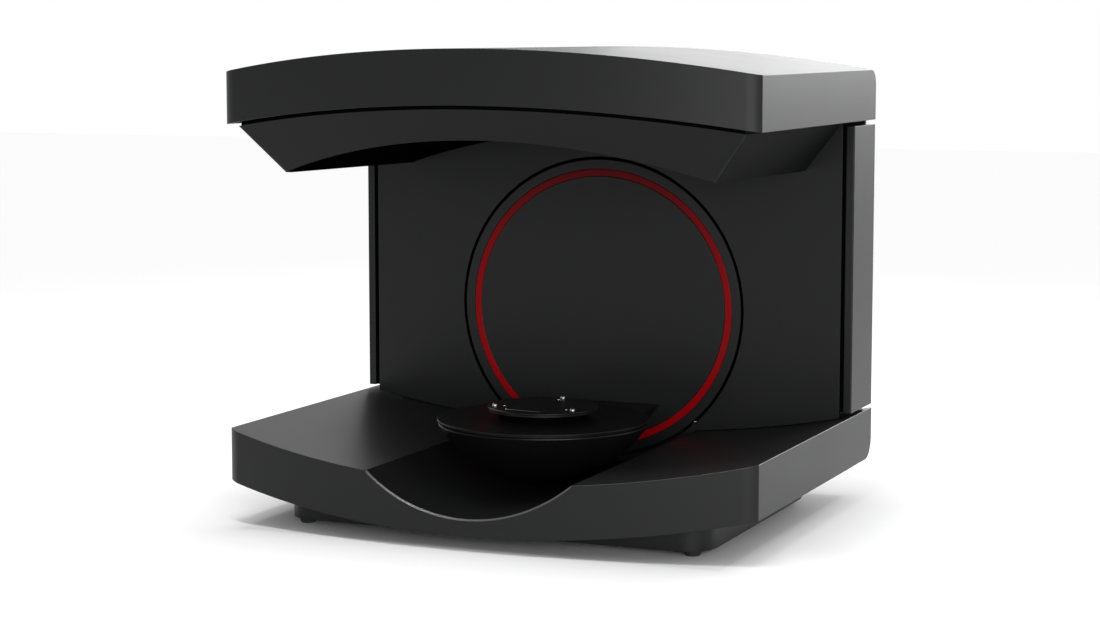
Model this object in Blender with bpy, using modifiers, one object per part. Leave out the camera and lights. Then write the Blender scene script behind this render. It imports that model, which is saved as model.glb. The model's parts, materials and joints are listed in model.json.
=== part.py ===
# Dental lab scanner: an open-fronted desktop scanner for plaster models.
# A bowed base with a round scoop carries two posts and a hood that holds the optics.
# A round disc in the rear wall swings a bowl through the scoop, and the bowl carries a turntable.
# Metres, +X to the right, +Y to the rear, +Z up. The origin is on the table, under the middle.

import math

import bmesh
import bpy
from mathutils import Vector

# Body in plan: straight rear and sides, and a front that bows out
BODY_WIDTH = 0.422
BODY_DEPTH = 0.324
FRONT_BULGE = 0.030
CORNER_ROUND = 0.020
CORNER_WIDTH = 0.0105
EDGE_ROUND = 0.0014
SKIN = 0.003
GAP = 0.0003
FACETS_ACROSS = 18

# Hood: height of its faces at the outer corners, and how far they rise to the middle
HOOD_TOP = 0.3426
HOOD_TOP_RISE = 0.0179
HOOD_BOTTOM = 0.3031
HOOD_BOTTOM_RISE = 0.0172
HOOD_REAR_ROUND = 0.012
HOOD_PLATE_CLEARANCE = 0.0012
HOOD_PLATE_THICKNESS = 0.0025
HOOD_PLATE_ABOVE_VISOR = 0.0014
OPTICS_HOLE_HALF = 0.138
OPTICS_HOLE_DEPTH = 0.100
HOOD_BOSS_RADIUS = 0.005
HOOD_BOSS_FROM_SIDE = 0.036
HOOD_BOSS_FROM_REAR = 0.067

# Base: its top dips to the middle, and so does its lower edge
BASE_TOP = 0.0724
BASE_TOP_DIP = 0.0224
BASE_BOTTOM = 0.0323
BASE_BOTTOM_DIP = 0.0215
BASE_REAR_ROUND = 0.016
SCOOP_EDGE = 0.0012

# Pan and feet under the base
PAN_FROM_SIDE = 0.0408
PAN_FROM_FRONT = 0.0415
PAN_FROM_REAR = 0.036
PAN_CORNER = 0.021
PAN_SHEET = 0.002
PAN_BOTTOM = 0.0043
PAN_CLEARANCE = 0.0005
PAN_LIP = 0.002
FOOT_RADIUS = 0.006
FOOT_TIP_RADIUS = 0.0052
FOOT_FROM_PAN_SIDE = 0.0145
FOOT_FROM_pan_front = 0.0115
FOOT_FROM_pan_rear = 0.014

# Rear housing: wall with the round hole, side covers beside black grooves, rear cover
WALL_FROM_REAR = 0.0593
GROOVE_WIDTH = 0.0032
SIDE_COVER_THICKNESS = 0.0064
SIDE_COVER_FLANGE = 0.0144
SIDE_COVER_ROUND = 0.0015
FLANGE_SHEET = 0.0025
COLUMN_GAP_LOW = 0.003
COLUMN_GAP_HIGH = 0.0035
WALL_BASE_GAP = 0.0005
REAR_COVER_RISE = 0.004
VENT_COUNT = 7
VENT_PITCH = 0.012
VENT_WIDTH = 0.003
VENT_HEIGHT = 0.040
VENT_X = 0.075
VENT_Z = 0.262

# Posts and the drive plate between them
POST_FROM_SIDE = 0.071
POST_WIDTH = 0.026
POST_FROM_REAR = 0.036
POST_WALL = 0.0025
POST_HOLE_CLEARANCE = 0.002
POST_PAD_HEIGHT = 0.005
POST_PAD_INSET = 0.005
DRIVE_PLATE_THICKNESS = 0.003
DRIVE_PLATE_LOW = 0.080
DRIVE_PLATE_HIGH = 0.290
WALL_BOSS_RADIUS = 0.005
WALL_BOSS_LOW = 0.096
WALL_BOSS_HIGH = 0.278

# Swing: the disc in the wall, its red ring, and the scoop that the bowl swings through
SWING_AXIS_Z = 0.1503
SCOOP_RADIUS = 0.1265
DISC_RADIUS = 0.1198
DISC_GAP = 0.002
DISC_THICKNESS = 0.007
RING_INNER = 0.1063
RING_OUTER = 0.1119
RING_DEPTH = 0.003
SCOOP_BEHIND_DISC = 0.006
SHAFT_RADIUS = 0.008
SHAFT_FLANGE_RADIUS = 0.024
SHAFT_FLANGE = 0.003
HOUSING_FLANGE_RADIUS = 0.034
HOUSING_FLANGE = 0.004
HOUSING_RADIUS = 0.019
HOUSING_LENGTH = 0.0245
BEARING_RADIUS = 0.014
BEARING_WIDTH = 0.0075
NUT_RADIUS = 0.013
NUT_THICKNESS = 0.003

# Toothed belt drive of the swing
PULLEY_TEETH = 60
MOTOR_PULLEY_TEETH = 10
TOOTH_PITCH = 0.005
TOOTH_DEPTH = 0.0012
PULLEY_WIDTH = 0.008
BELT_WIDTH = 0.006
BELT_THICKNESS = 0.0018
BELT_CENTRES = 0.085
MOTOR_SIDE = 0.0423
MOTOR_LENGTH = 0.028
MOTOR_SHAFT_RADIUS = 0.0025
MOTOR_WALL = 0.003
ROTOR_RADIUS = 0.0125
ROTOR_LENGTH = 0.018
ROTOR_CLEARANCE = 0.001

# Bowl and arm that hang from the disc
TURNTABLE_Y = -0.016
BOWL_RIM_RADIUS = 0.082
BOWL_TOP = 0.0735
BOWL_DEPTH = 0.0455
BOWL_WALL = 0.003
BOWL_RIM_ROUND = 0.0008
ARM_HALF_TOP = 0.0516
ARM_HALF_LOW = 0.0236
ARM_LOW_Z = 0.035
ARM_BOTTOM_Z = 0.0292
ARM_BOTTOM_HALF = 0.010
ARM_END_WALL = 0.004
COVER_GROOVE = 0.0014
COVER_EDGE = 0.0019
COVER_PLUG_DEPTH = 0.003
COVER_PLUG_CLEARANCE = 0.0004

# Turntable on the bowl
HUB_RADIUS = 0.034
PLATE_RADIUS = 0.043
PLATE_TOP = 0.0865
PLATE_THICKNESS = 0.0035
PLATE_STEP = 0.0008
TURN_SHAFT_RADIUS = 0.004
TURN_BEARING_RADIUS = 0.011
TURN_MOTOR_SIDE = 0.035
TURN_MOTOR_HEIGHT = 0.026
TURN_BORE_DEPTH = 0.010
BALL_RADIUS = 0.002
BALL_CIRCLE = 0.0375
BALL_PROUD = 0.0003
BALL_FIRST_ANGLE = -31
DIMPLE_CIRCLE = 0.030
DIMPLE_RADIUS = 0.0014
DIMPLE_DEPTH = 0.0004
KEYWAY_LENGTH = 0.0306
KEYWAY_WIDTH = 0.0024
KEYWAY_DEPTH = 0.0008
KEYWAY_DISTANCE = 0.0321
KEYWAY_ANGLE = -7

# Visor under the hood: a short hopper with a leaning front and sides
VISOR_TOP_SETBACK = 0.0052
VISOR_SIDE_SETBACK = 0.0103
VISOR_GAP = 0.0028
VISOR_LOW_SETBACK = 0.0215
VISOR_LOW_SETBACK_CORNER = 0.0298
VISOR_HALF_BOTTOM = 0.1713
VISOR_CORNER_TOP = 0.003
VISOR_CORNER_BOTTOM = 0.005
VISOR_ARCH_TOP = 0.2948
VISOR_ARCH_RISE = 0.0280
VISOR_SIDE_DROP = 0.0025
VISOR_LIP = 0.0038
VISOR_RIM_INSET = 0.002
VISOR_RIM_THICKNESS = 0.003
VISOR_FACETS = 18

# Optics over the arched panel
PANEL_RECESS = 0.002
PANEL_REAR_DROP = 0.005
PANEL_EDGE_CLEARANCE = 0.0001
PANEL_FRONT_CLEARANCE = 0.0008
OPTICS_Y = -0.016
TARGET_Z = 0.100
CAMERA_ANGLE = 25
CAMERA_WINDOW_RADIUS = 0.017
LENS_RADIUS = 0.013
LENS_LENGTH = 0.018
LENS_TIP_CLEARANCE = 0.003
CAMERA_SIDE = 0.034
CAMERA_HEIGHT = 0.026
PROJECTOR_WINDOW_RADIUS = 0.021
PROJECTOR_LENS_RADIUS = 0.016
PROJECTOR_LENS_LENGTH = 0.013
PROJECTOR_WIDTH = 0.056
PROJECTOR_DEPTH = 0.070
PROJECTOR_HEIGHT = 0.026
BRACKET_SHEET = 0.003
BRACKET_DEPTH = 0.060
BRACKET_FOOT = 0.016

# Electrical parts
SUPPLY_WIDTH = 0.052
SUPPLY_LENGTH = 0.120
SUPPLY_HEIGHT = 0.030
SUPPLY_FROM_PAN_SIDE = 0.0382
BOARD_WIDTH = 0.060
BOARD_LENGTH = 0.130
BOARD_FROM_PAN_SIDE = 0.0382
BOARD_THICKNESS = 0.0016
BOARD_STANDOFF = 0.006
STANDOFF_RADIUS = 0.0025
STANDOFF_INSET = 0.005
INLET_X = -0.096
INLET_Z = 0.106
INLET_WIDTH = 0.0275
INLET_HEIGHT = 0.0200
INLET_FLANGE = 0.0025
INLET_DEPTH = 0.024
INLET_SOCKET_DEPTH = 0.016
INLET_WALL = 0.002
INLET_PIN_PITCH = 0.007
INLET_PIN_RECESS = 0.0055
SWITCH_X = -0.060
SWITCH_WIDTH = 0.0135
SWITCH_HEIGHT = 0.0200
SWITCH_DEPTH = 0.014
SWITCH_WALL = 0.0012
ROCKER_ANGLE = 9
ROCKER_THICKNESS = 0.006
ROCKER_CLEARANCE = 0.0006
PORT_X = 0.098
PORT_WIDTH = 0.0120
PORT_HEIGHT = 0.0110
PORT_DEPTH = 0.016
PORT_SOCKET_DEPTH = 0.011
PORT_WALL = 0.0011
PORT_TONGUE_RECESS = 0.0045
PLATE_FLANGE = 0.0016
SCREW_HEAD_RADIUS = 0.0032
SCREW_HEAD = 0.0018
SCREW_RADIUS = 0.0015
SCREW_LENGTH = 0.005
SCREW_CLEARANCE = 0.0004
SCREW_LOW = 0.094
SCREW_HIGH = 0.286

# Places that follow from the sizes above
half_width = BODY_WIDTH / 2
front_middle = -BODY_DEPTH / 2
rear = BODY_DEPTH / 2
wall_y = rear - WALL_FROM_REAR
post_front = rear - POST_FROM_REAR
pan_half = half_width - PAN_FROM_SIDE
pan_front = front_middle + PAN_FROM_FRONT
pan_rear = rear - PAN_FROM_REAR
foot_x = pan_half - FOOT_FROM_PAN_SIDE
foot_front = pan_front + FOOT_FROM_pan_front
foot_rear = pan_rear - FOOT_FROM_pan_rear
hood_boss_x = half_width - HOOD_BOSS_FROM_SIDE
hood_boss_y = rear - HOOD_BOSS_FROM_REAR
post_inner = half_width - POST_FROM_SIDE
supply_x = -(pan_half - SUPPLY_FROM_PAN_SIDE)
board_x = pan_half - BOARD_FROM_PAN_SIDE
column_top = HOOD_BOTTOM - COLUMN_GAP_HIGH
column_bottom = BASE_TOP + COLUMN_GAP_LOW
side_cover_inner = half_width - SIDE_COVER_THICKNESS
wall_half = side_cover_inner - GROOVE_WIDTH
wall_thickness = SKIN
rear_cover_outer = rear - SKIN - GAP
rear_cover_inner = rear_cover_outer - SKIN
hole_radius = DISC_RADIUS + DISC_GAP
disc_back = wall_y + DISC_THICKNESS
scoop_end = disc_back + SCOOP_BEHIND_DISC
pan_floor = PAN_BOTTOM + PAN_SHEET
post_middle = post_inner + POST_WIDTH / 2
post_rear = rear_cover_inner - GAP
plate_rear = post_front - GAP
plate_front = plate_rear - DRIVE_PLATE_THICKNESS
hood_plate_bottom = HOOD_BOTTOM + HOOD_BOTTOM_RISE + HOOD_PLATE_ABOVE_VISOR
hood_plate_top = hood_plate_bottom + HOOD_PLATE_THICKNESS
visor_half_top = half_width - VISOR_SIDE_SETBACK
cover_bottom = BOWL_TOP + COVER_GROOVE
cover_top = cover_bottom + COVER_EDGE
plate_bottom = PLATE_TOP - PLATE_THICKNESS
turn_shaft_foot = cover_bottom - COVER_PLUG_DEPTH - GAP - TURN_BORE_DEPTH + GAP

# Base colour, roughness and metallic of each finish
FINISHES = {
    "dark paint": ((0.035, 0.036, 0.039), 0.42, 0.0),
    "gloss black": ((0.010, 0.010, 0.011), 0.12, 0.0),
    "matte black": ((0.014, 0.014, 0.015), 0.60, 0.0),
    "red": ((0.55, 0.010, 0.020), 0.20, 0.0),
    "steel": ((0.55, 0.55, 0.56), 0.30, 1.0),
    "zinc sheet": ((0.50, 0.51, 0.53), 0.42, 1.0),
    "aluminium": ((0.68, 0.68, 0.70), 0.35, 1.0),
    "rubber": ((0.02, 0.02, 0.02), 0.80, 0.0),
    "glass": ((0.05, 0.06, 0.09), 0.04, 0.0),
    "circuit board": ((0.02, 0.16, 0.07), 0.50, 0.0),
}


def start_collection(name):
    collection = bpy.data.collections.get(name) or bpy.data.collections.new(name)
    if collection.name not in bpy.context.scene.collection.children:
        bpy.context.scene.collection.children.link(collection)
    return collection


for old in list(bpy.data.objects):
    bpy.data.objects.remove(old, do_unlink=True)
parts = start_collection("dental_lab_scanner")
cutters = start_collection("cutters")


def finish_material(name, finish):
    colour, roughness, metallic = FINISHES[finish]
    material = bpy.data.materials.new(name)
    material.use_nodes = True
    shader = material.node_tree.nodes["Principled BSDF"]
    shader.inputs["Base Color"].default_value = (*colour, 1.0)
    shader.inputs["Roughness"].default_value = roughness
    shader.inputs["Metallic"].default_value = metallic
    return material


def add_piece(name, bm, finish):
    """A named part, or a cutter where no finish is given."""
    mesh = bpy.data.meshes.new(name)
    bm.to_mesh(mesh)
    bm.free()
    piece = bpy.data.objects.new(name, mesh)
    if finish is None:
        cutters.objects.link(piece)
        piece.hide_render = True
        piece.display_type = "WIRE"
    else:
        mesh.materials.append(finish_material(name, finish))
        mesh.shade_smooth()
        mesh.set_sharp_from_angle(angle=math.radians(30))
        parts.objects.link(piece)
    return piece


def combine(piece, tool, operation):
    step = piece.modifiers.new(tool.name, "BOOLEAN")
    step.operation = operation
    step.solver = "EXACT"
    step.object = tool


def cut(piece, *tools):
    for tool in tools:
        combine(piece, tool, "DIFFERENCE")


def join(piece, *tools):
    for tool in tools:
        combine(piece, tool, "UNION")


def loft(name, sections, finish=None, closed=False):
    """Skin over a row of sections with equal numbers of points."""
    bm = bmesh.new()
    rings = [[bm.verts.new(point) for point in section] for section in sections]
    pairs = list(zip(rings, rings[1:]))
    if closed:
        pairs.append((rings[-1], rings[0]))
    else:
        bm.faces.new(rings[0])
        bm.faces.new(rings[-1])
    for near, far in pairs:
        for i, corner in enumerate(near):
            j = (i + 1) % len(near)
            bm.faces.new((corner, near[j], far[j], far[i]))
    bmesh.ops.recalc_face_normals(bm, faces=bm.faces)
    bmesh.ops.triangulate(bm, faces=bm.faces)
    return add_piece(name, bm, finish)


def prism(name, outline, low, high, finish=None, across="XY"):
    """Flat outline in the XY or XZ plane, raised from low to high along the third axis."""
    bm = bmesh.new()
    if across == "XY":
        corners = [(a, b, low) for a, b in outline]
        rise = (0, 0, high - low)
    else:
        corners = [(a, low, b) for a, b in outline]
        rise = (0, high - low, 0)
    face = bm.faces.new([bm.verts.new(corner) for corner in corners])
    raised = bmesh.ops.extrude_face_region(bm, geom=[face])["geom"]
    moved = [item for item in raised if isinstance(item, bmesh.types.BMVert)]
    bmesh.ops.translate(bm, verts=moved, vec=rise)
    bmesh.ops.recalc_face_normals(bm, faces=bm.faces)
    return add_piece(name, bm, finish)


def block(name, low, high, finish=None, edge=0.0):
    bm = bmesh.new()
    bmesh.ops.create_cube(bm, size=1.0)
    low, high = Vector(low), Vector(high)
    bmesh.ops.scale(bm, vec=high - low, verts=bm.verts)
    bmesh.ops.translate(bm, vec=(low + high) / 2, verts=bm.verts)
    if edge:
        bmesh.ops.bevel(bm, geom=bm.edges[:], offset=edge, segments=1, affect="EDGES", profile=0.5)
    return add_piece(name, bm, finish)


def rod(name, radius, start, end, finish=None, segments=24):
    bm = bmesh.new()
    start, end = Vector(start), Vector(end)
    bmesh.ops.create_cone(
        bm, cap_ends=True, segments=segments, radius1=radius, radius2=radius, depth=(end - start).length
    )
    turn = (end - start).to_track_quat("Z", "Y").to_matrix()
    bmesh.ops.rotate(bm, cent=(0, 0, 0), matrix=turn, verts=bm.verts)
    bmesh.ops.translate(bm, vec=(start + end) / 2, verts=bm.verts)
    return add_piece(name, bm, finish)


def turned(name, profile, finish=None, steps=48, ring=False):
    """Profile of radius and height, turned about the vertical; it runs down its outer side."""
    bm = bmesh.new()
    points = [bm.verts.new((radius, 0, height)) for radius, height in profile]
    ends = list(zip(points, points[1:]))
    if ring:
        ends.append((points[-1], points[0]))
    for edge in ends:
        bm.edges.new(edge)
    piece = add_piece(name, bm, finish)
    screw = piece.modifiers.new("turn", "SCREW")
    screw.steps = steps
    screw.render_steps = steps
    screw.use_merge_vertices = True
    screw.merge_threshold = 0.00001
    screw.use_smooth_shade = True
    return piece


def lay_on_swing_axis(piece):
    """A turned piece's height becomes its Y, and its axis the swing's."""
    piece.rotation_euler = (-math.pi / 2, 0, 0)
    piece.location = (0, 0, SWING_AXIS_Z)
    return piece


def stand_on_turntable_axis(piece):
    piece.location = (0, TURNTABLE_Y, 0)
    return piece


def carry(axis_name, place, pieces, holder=None):
    """An empty on a joint's axis that the moving pieces hang on."""
    axis = bpy.data.objects.new(axis_name, None)
    parts.objects.link(axis)
    axis.location = place
    axis.empty_display_size = 0.02
    bpy.context.view_layer.update()
    if holder is not None:
        axis.parent = holder
        axis.matrix_parent_inverse = holder.matrix_world.inverted()
    bpy.context.view_layer.update()
    for piece in pieces:
        piece.parent = axis
        piece.matrix_parent_inverse = axis.matrix_world.inverted()
    return axis


def spread(low, high, count):
    return [low + (high - low) * i / (count - 1) for i in range(count)]


def bow(x, rise):
    """Height above its ends of a circular bow as wide as the body."""
    radius = (half_width**2 + rise**2) / (2 * rise)
    return math.sqrt(radius**2 - x**2) - (radius - rise)


def hood_top(x):
    return HOOD_TOP + bow(x, HOOD_TOP_RISE)


def hood_bottom(x):
    return HOOD_BOTTOM + bow(x, HOOD_BOTTOM_RISE)


def base_top(x):
    return BASE_TOP - bow(x, BASE_TOP_DIP)


def base_bottom(x):
    return BASE_BOTTOM - bow(x, BASE_BOTTOM_DIP)


def scoop_height(x, radius=SCOOP_RADIUS):
    return SWING_AXIS_Z - math.sqrt(radius**2 - x**2)


front_radius = (half_width**2 + FRONT_BULGE**2) / (2 * FRONT_BULGE)
front_centre = front_middle + front_radius


def corner_start(half, setback, corner, width):
    """Where the bowed front turns into the round of the corner; no width means a full round."""
    radius = front_radius - setback
    if width is not None:
        return half - width
    return (half - corner) * radius / (radius - corner)


def front_y(x, half=half_width, setback=0.0, corner=CORNER_ROUND, width=CORNER_WIDTH):
    """Front of the plan outline, set back from the bowed front, with rounded corners."""
    radius = front_radius - setback
    start = corner_start(half, setback, corner, width)
    if abs(x) <= start:
        return front_centre - math.sqrt(radius**2 - x**2)
    share = start / radius
    middle_x = start - corner * share
    middle_y = front_centre - (radius - corner) * math.sqrt(1 - share**2)
    return middle_y - math.sqrt(max(corner**2 - (abs(x) - middle_x) ** 2, 0.0))


def front_walk(half, setback, corner, facets, width=None):
    """Points of x and the outward angle along the bowed front, from left side to right side."""
    radius = front_radius - setback
    start = corner_start(half, setback, corner, width)
    start_angle = math.asin(start / radius)
    middle_x = start - corner * start / radius
    end_angle = math.asin(min((half - middle_x) / corner, 1.0))
    round_angles = spread(start_angle, end_angle, 4)[1:]
    right = [(middle_x + corner * math.sin(angle), angle) for angle in round_angles]
    left = [(-x, -angle) for x, angle in reversed(right)]
    middle = [(x, math.asin(x / radius)) for x in spread(-start, start, facets + 1)]
    return left + middle + right


def rounded_section(x, front, back, bottom, top, rounds):
    """Section at x, from its lower front corner round the rear; rounds are radius and facets."""
    corners = ((front, bottom), (back, bottom), (back, top), (front, top))
    points = []
    for turn, ((y, z), (radius, facets)) in enumerate(zip(corners, rounds)):
        inward_y = radius if turn in (0, 3) else -radius
        inward_z = radius if turn in (0, 1) else -radius
        first = math.pi + turn * math.pi / 2
        for i in range(facets + 1):
            angle = first + i * math.pi / 2 / max(facets, 1)
            points.append((x, y + inward_y + radius * math.cos(angle), z + inward_z + radius * math.sin(angle)))
            if facets == 0:
                break
    return points


def band(name, bottom, top, rounds, finish=None):
    """Full-width body with the bowed front, between two bowed heights, its edges rounded."""
    walk = front_walk(half_width, 0.0, CORNER_ROUND, FACETS_ACROSS, CORNER_WIDTH)
    stations = [(x, 0.0) for x, angle in walk[1:-1]]
    ends = [(half_width - EDGE_ROUND * (1 - math.sin(a)), EDGE_ROUND * (1 - math.cos(a)))
            for a in (0, math.pi / 4, math.pi / 2)]
    stations = [(x, inset) for x, inset in stations if abs(x) < ends[0][0] - EDGE_ROUND / 4]
    stations = [(-x, inset) for x, inset in reversed(ends)] + stations + ends
    sections = [
        rounded_section(x, front_y(x) + inset, rear - inset, bottom(x) + inset, top(x) - inset, rounds)
        for x, inset in stations
    ]
    return loft(name, sections, finish)


def cavity(name, bottom, top, rounds):
    """Inside of a band, a skin's thickness in from its front, sides and rear."""
    inner_half = half_width - SKIN
    stations = spread(-inner_half, inner_half, FACETS_ACROSS + 1)
    sections = [
        rounded_section(x, front_y(x) + SKIN, rear - SKIN, bottom(x), top(x), rounds) for x in stations
    ]
    return loft(name, sections)


def slab(name, half, front, back, corner, bottom, top, finish=None, facets=8):
    """Rounded rectangle in plan whose lower and upper faces follow heights given across it."""
    round_angles = [math.radians(angle) for angle in (22.5, 45, 67.5, 90)]
    right = [half - corner + corner * math.sin(angle) for angle in round_angles]
    flat = spread(-(half - corner), half - corner, facets + 1)
    sections = []
    for x in [-x for x in reversed(right)] + flat + right:
        into_round = max(abs(x) - (half - corner), 0.0)
        reach = corner - math.sqrt(max(corner**2 - into_round**2, 0.0))
        low, high = bottom(x), top(x)
        sections.append(
            [(x, front + reach, low), (x, back - reach, low), (x, back - reach, high), (x, front + reach, high)]
        )
    return loft(name, sections, finish)


def drilled(x, z, radius, name, segments=20):
    """Cutter for a hole through the rear housing, along Y."""
    return rod(name, radius, (x, wall_y - SKIN, z), (x, rear, z), segments=segments)


# Hood cover: an open-bottomed shell with four bosses that stand on the hood plate
def make_hood():
    edge, low_edge = (EDGE_ROUND, 2), (EDGE_ROUND, 1)
    rounds = (low_edge, low_edge, (HOOD_REAR_ROUND, 5), edge)
    hood = band("hood_cover", hood_bottom, hood_top, rounds, "dark paint")
    inner_round = (HOOD_REAR_ROUND - SKIN, 4)
    hollow = cavity(
        "hood_hollow",
        lambda x: hood_bottom(x) - SKIN,
        lambda x: hood_top(x) - SKIN,
        ((0.0, 0), (0.0, 0), inner_round, (0.0, 0)),
    )
    cut(hood, hollow)
    for i, (side, end) in enumerate(((-1, -1), (1, -1), (-1, 1), (1, 1))):
        x, y = side * hood_boss_x, end * hood_boss_y
        top = hood_top(x) - SKIN / 2
        join(hood, rod(f"hood_boss_{i + 1}", HOOD_BOSS_RADIUS, (x, y, hood_plate_top + GAP), (x, y, top)))

    setback = SKIN + HOOD_PLATE_CLEARANCE
    half = half_width - setback
    walk = front_walk(half, setback, CORNER_ROUND, 20, CORNER_WIDTH)
    outline = [(x, front_y(x, half, setback)) for x, angle in walk]
    outline += [(half, rear - setback), (-half, rear - setback)]
    plate = prism("hood_plate", outline, hood_plate_bottom, hood_plate_top, "zinc sheet")
    opening = block(
        "optics_hole",
        (-OPTICS_HOLE_HALF, OPTICS_Y - OPTICS_HOLE_DEPTH / 2, hood_plate_bottom - SKIN),
        (OPTICS_HOLE_HALF, OPTICS_Y + OPTICS_HOLE_DEPTH / 2, hood_plate_top + SKIN),
    )
    cut(plate, opening)


# Base cover: dished top, round scoop with a fine chamfer, bowed underside with the pan's opening
def make_base():
    edge, low_edge = (EDGE_ROUND, 2), (EDGE_ROUND, 1)
    rounds = (low_edge, (BASE_REAR_ROUND, 5), low_edge, edge)
    base = band("base_cover", base_bottom, base_top, rounds, "dark paint")
    hollow = cavity(
        "base_hollow",
        lambda x: base_bottom(x) + SKIN,
        lambda x: base_top(x) - SKIN,
        ((0.0, 0), (BASE_REAR_ROUND - SKIN, 4), (0.0, 0), (0.0, 0)),
    )
    before = front_middle - SCOOP_RADIUS
    trough = rod("scoop_skin", SCOOP_RADIUS + SKIN, (0, before, SWING_AXIS_Z), (0, scoop_end + SKIN, SWING_AXIS_Z),
                 segments=72)
    cut(hollow, trough)
    scoop = rod("scoop", SCOOP_RADIUS, (0, before, SWING_AXIS_Z), (0, scoop_end, SWING_AXIS_Z), segments=72)
    cut(base, scoop, scoop_chamfer(), hollow)

    reach = PAN_CLEARANCE
    opening = slab(
        "pan_opening",
        pan_half + reach,
        pan_front - reach,
        pan_rear + reach,
        PAN_CORNER,
        lambda x: 0.0,
        lambda x: base_bottom(x) + SKIN * 1.4,
    )
    cut(base, opening)
    for side in (-1, 1):
        hole = block(
            f"post_hole_{'left' if side < 0 else 'right'}",
            (side * post_middle - POST_WIDTH / 2 - POST_HOLE_CLEARANCE, post_front - POST_HOLE_CLEARANCE,
             base_top(post_inner + POST_WIDTH) - 0.015),
            (side * post_middle + POST_WIDTH / 2 + POST_HOLE_CLEARANCE, post_rear + POST_HOLE_CLEARANCE,
             BASE_TOP + SKIN),
        )
        cut(base, hole)
        edges = [side * x for x in spread(post_inner, post_inner + POST_WIDTH, 4)]
        outline = [(x, base_bottom(x) + SKIN / 2) for x in edges]
        outline += [(edges[-1], post_low - GAP), (edges[0], post_low - GAP)]
        join(base, prism(f"post_pad_{'left' if side < 0 else 'right'}", outline,
                         post_front + POST_PAD_INSET, post_rear - POST_PAD_INSET, across="XZ"))


def scoop_chamfer():
    """Three-sided tool along the edge between the scoop and the bowed front."""
    reach = math.sqrt(SCOOP_RADIUS**2 - (SWING_AXIS_Z - BASE_TOP) ** 2)
    over = EDGE_ROUND
    sections = []
    for x in spread(-reach, reach, 41):
        y, z = front_y(x), scoop_height(x)
        sections.append(
            [
                (x, y - over, z - SCOOP_EDGE - over),
                (x, y + SCOOP_EDGE + over, z + over),
                (x, y - over, z + over),
            ]
        )
    return loft("scoop_chamfer", sections)


# Bottom pan with its raised standoffs, and the four feet
def make_pan():
    pan = slab(
        "base_pan", pan_half, pan_front, pan_rear, PAN_CORNER,
        lambda x: PAN_BOTTOM, lambda x: base_bottom(x) + SKIN + PAN_LIP, "dark paint",
    )
    hollow = slab(
        "pan_hollow", pan_half - PAN_SHEET, pan_front + PAN_SHEET, pan_rear - PAN_SHEET, PAN_CORNER - PAN_SHEET,
        lambda x: pan_floor, lambda x: BASE_BOTTOM + SKIN + PAN_LIP,
    )
    cut(pan, hollow)
    for i, (side, end) in enumerate(((-1, -1), (1, -1), (-1, 1), (1, 1))):
        x = board_x + side * (BOARD_WIDTH / 2 - STANDOFF_INSET)
        y = end * (BOARD_LENGTH / 2 - STANDOFF_INSET)
        low = pan_floor - PAN_SHEET / 2
        high = pan_floor + BOARD_STANDOFF
        join(pan, rod(f"standoff_{i + 1}", STANDOFF_RADIUS, (x, y, low), (x, y, high), segments=12))

    top = PAN_BOTTOM - GAP
    profile = [
        (0, top), (FOOT_RADIUS, top), (FOOT_RADIUS, top * 0.6), (FOOT_TIP_RADIUS, 0), (0, 0),
    ]
    for name, x, y in (
        ("foot_front_left", -foot_x, foot_front),
        ("foot_front_right", foot_x, foot_front),
        ("foot_rear_left", -foot_x, foot_rear),
        ("foot_rear_right", foot_x, foot_rear),
    ):
        foot = turned(name, profile, "rubber", steps=18)
        foot.location = (x, y, 0)


# Wall panel: its lower edge follows the base's dish, and the scoop between the dish's two edges
def make_wall():
    scoop_edge = SCOOP_RADIUS - GAP
    meeting = 0.0
    while scoop_height(meeting, scoop_edge) < base_top(meeting) + WALL_BASE_GAP:
        meeting += 0.0005
    side = [(x, base_top(x) + WALL_BASE_GAP) for x in spread(wall_half, meeting, 9)]
    low = [(x, scoop_height(x, scoop_edge)) for x in spread(meeting, -meeting, 29)][1:-1]
    top = [(x, hood_bottom(x) - COLUMN_GAP_HIGH) for x in spread(-wall_half, wall_half, 17)]
    outline = side + low + [(-x, z) for x, z in reversed(side)] + top
    wall = prism("wall_panel", outline, wall_y, wall_y + wall_thickness, "dark paint", across="XZ")
    cut(wall, drilled(0, SWING_AXIS_Z, hole_radius, "wall_hole", segments=60))
    for i, (x, z) in enumerate(
        ((-post_middle, WALL_BOSS_LOW), (post_middle, WALL_BOSS_LOW),
         (-post_middle, WALL_BOSS_HIGH), (post_middle, WALL_BOSS_HIGH))
    ):
        start = wall_y + wall_thickness / 2
        join(wall, rod(f"wall_boss_{i + 1}", WALL_BOSS_RADIUS, (x, start, z), (x, plate_front - GAP, z), segments=16))


# Side covers: a strip beside the groove, with a flange that passes behind the wall panel
def make_side_covers():
    flange_front = wall_y + wall_thickness + GAP
    flange_back = flange_front + FLANGE_SHEET
    flange_inner = side_cover_inner - SIDE_COVER_FLANGE
    rounding = [
        (half_width - SIDE_COVER_ROUND * (1 - math.cos(a)), rear - SIDE_COVER_ROUND * (1 - math.sin(a)))
        for a in spread(0, math.pi / 2, 5)
    ]
    edge = EDGE_ROUND / 2
    outline = [(half_width - edge, wall_y), (half_width, wall_y + edge)]
    outline += rounding
    outline += [
        (side_cover_inner, rear),
        (side_cover_inner, flange_back),
        (flange_inner, flange_back),
        (flange_inner, flange_front),
        (side_cover_inner, flange_front),
        (side_cover_inner, wall_y),
    ]
    prism("side_cover_right", outline, column_bottom, column_top, "dark paint")
    mirrored = [(-x, y) for x, y in reversed(outline)]
    prism("side_cover_left", mirrored, column_bottom, column_top, "dark paint")


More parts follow.
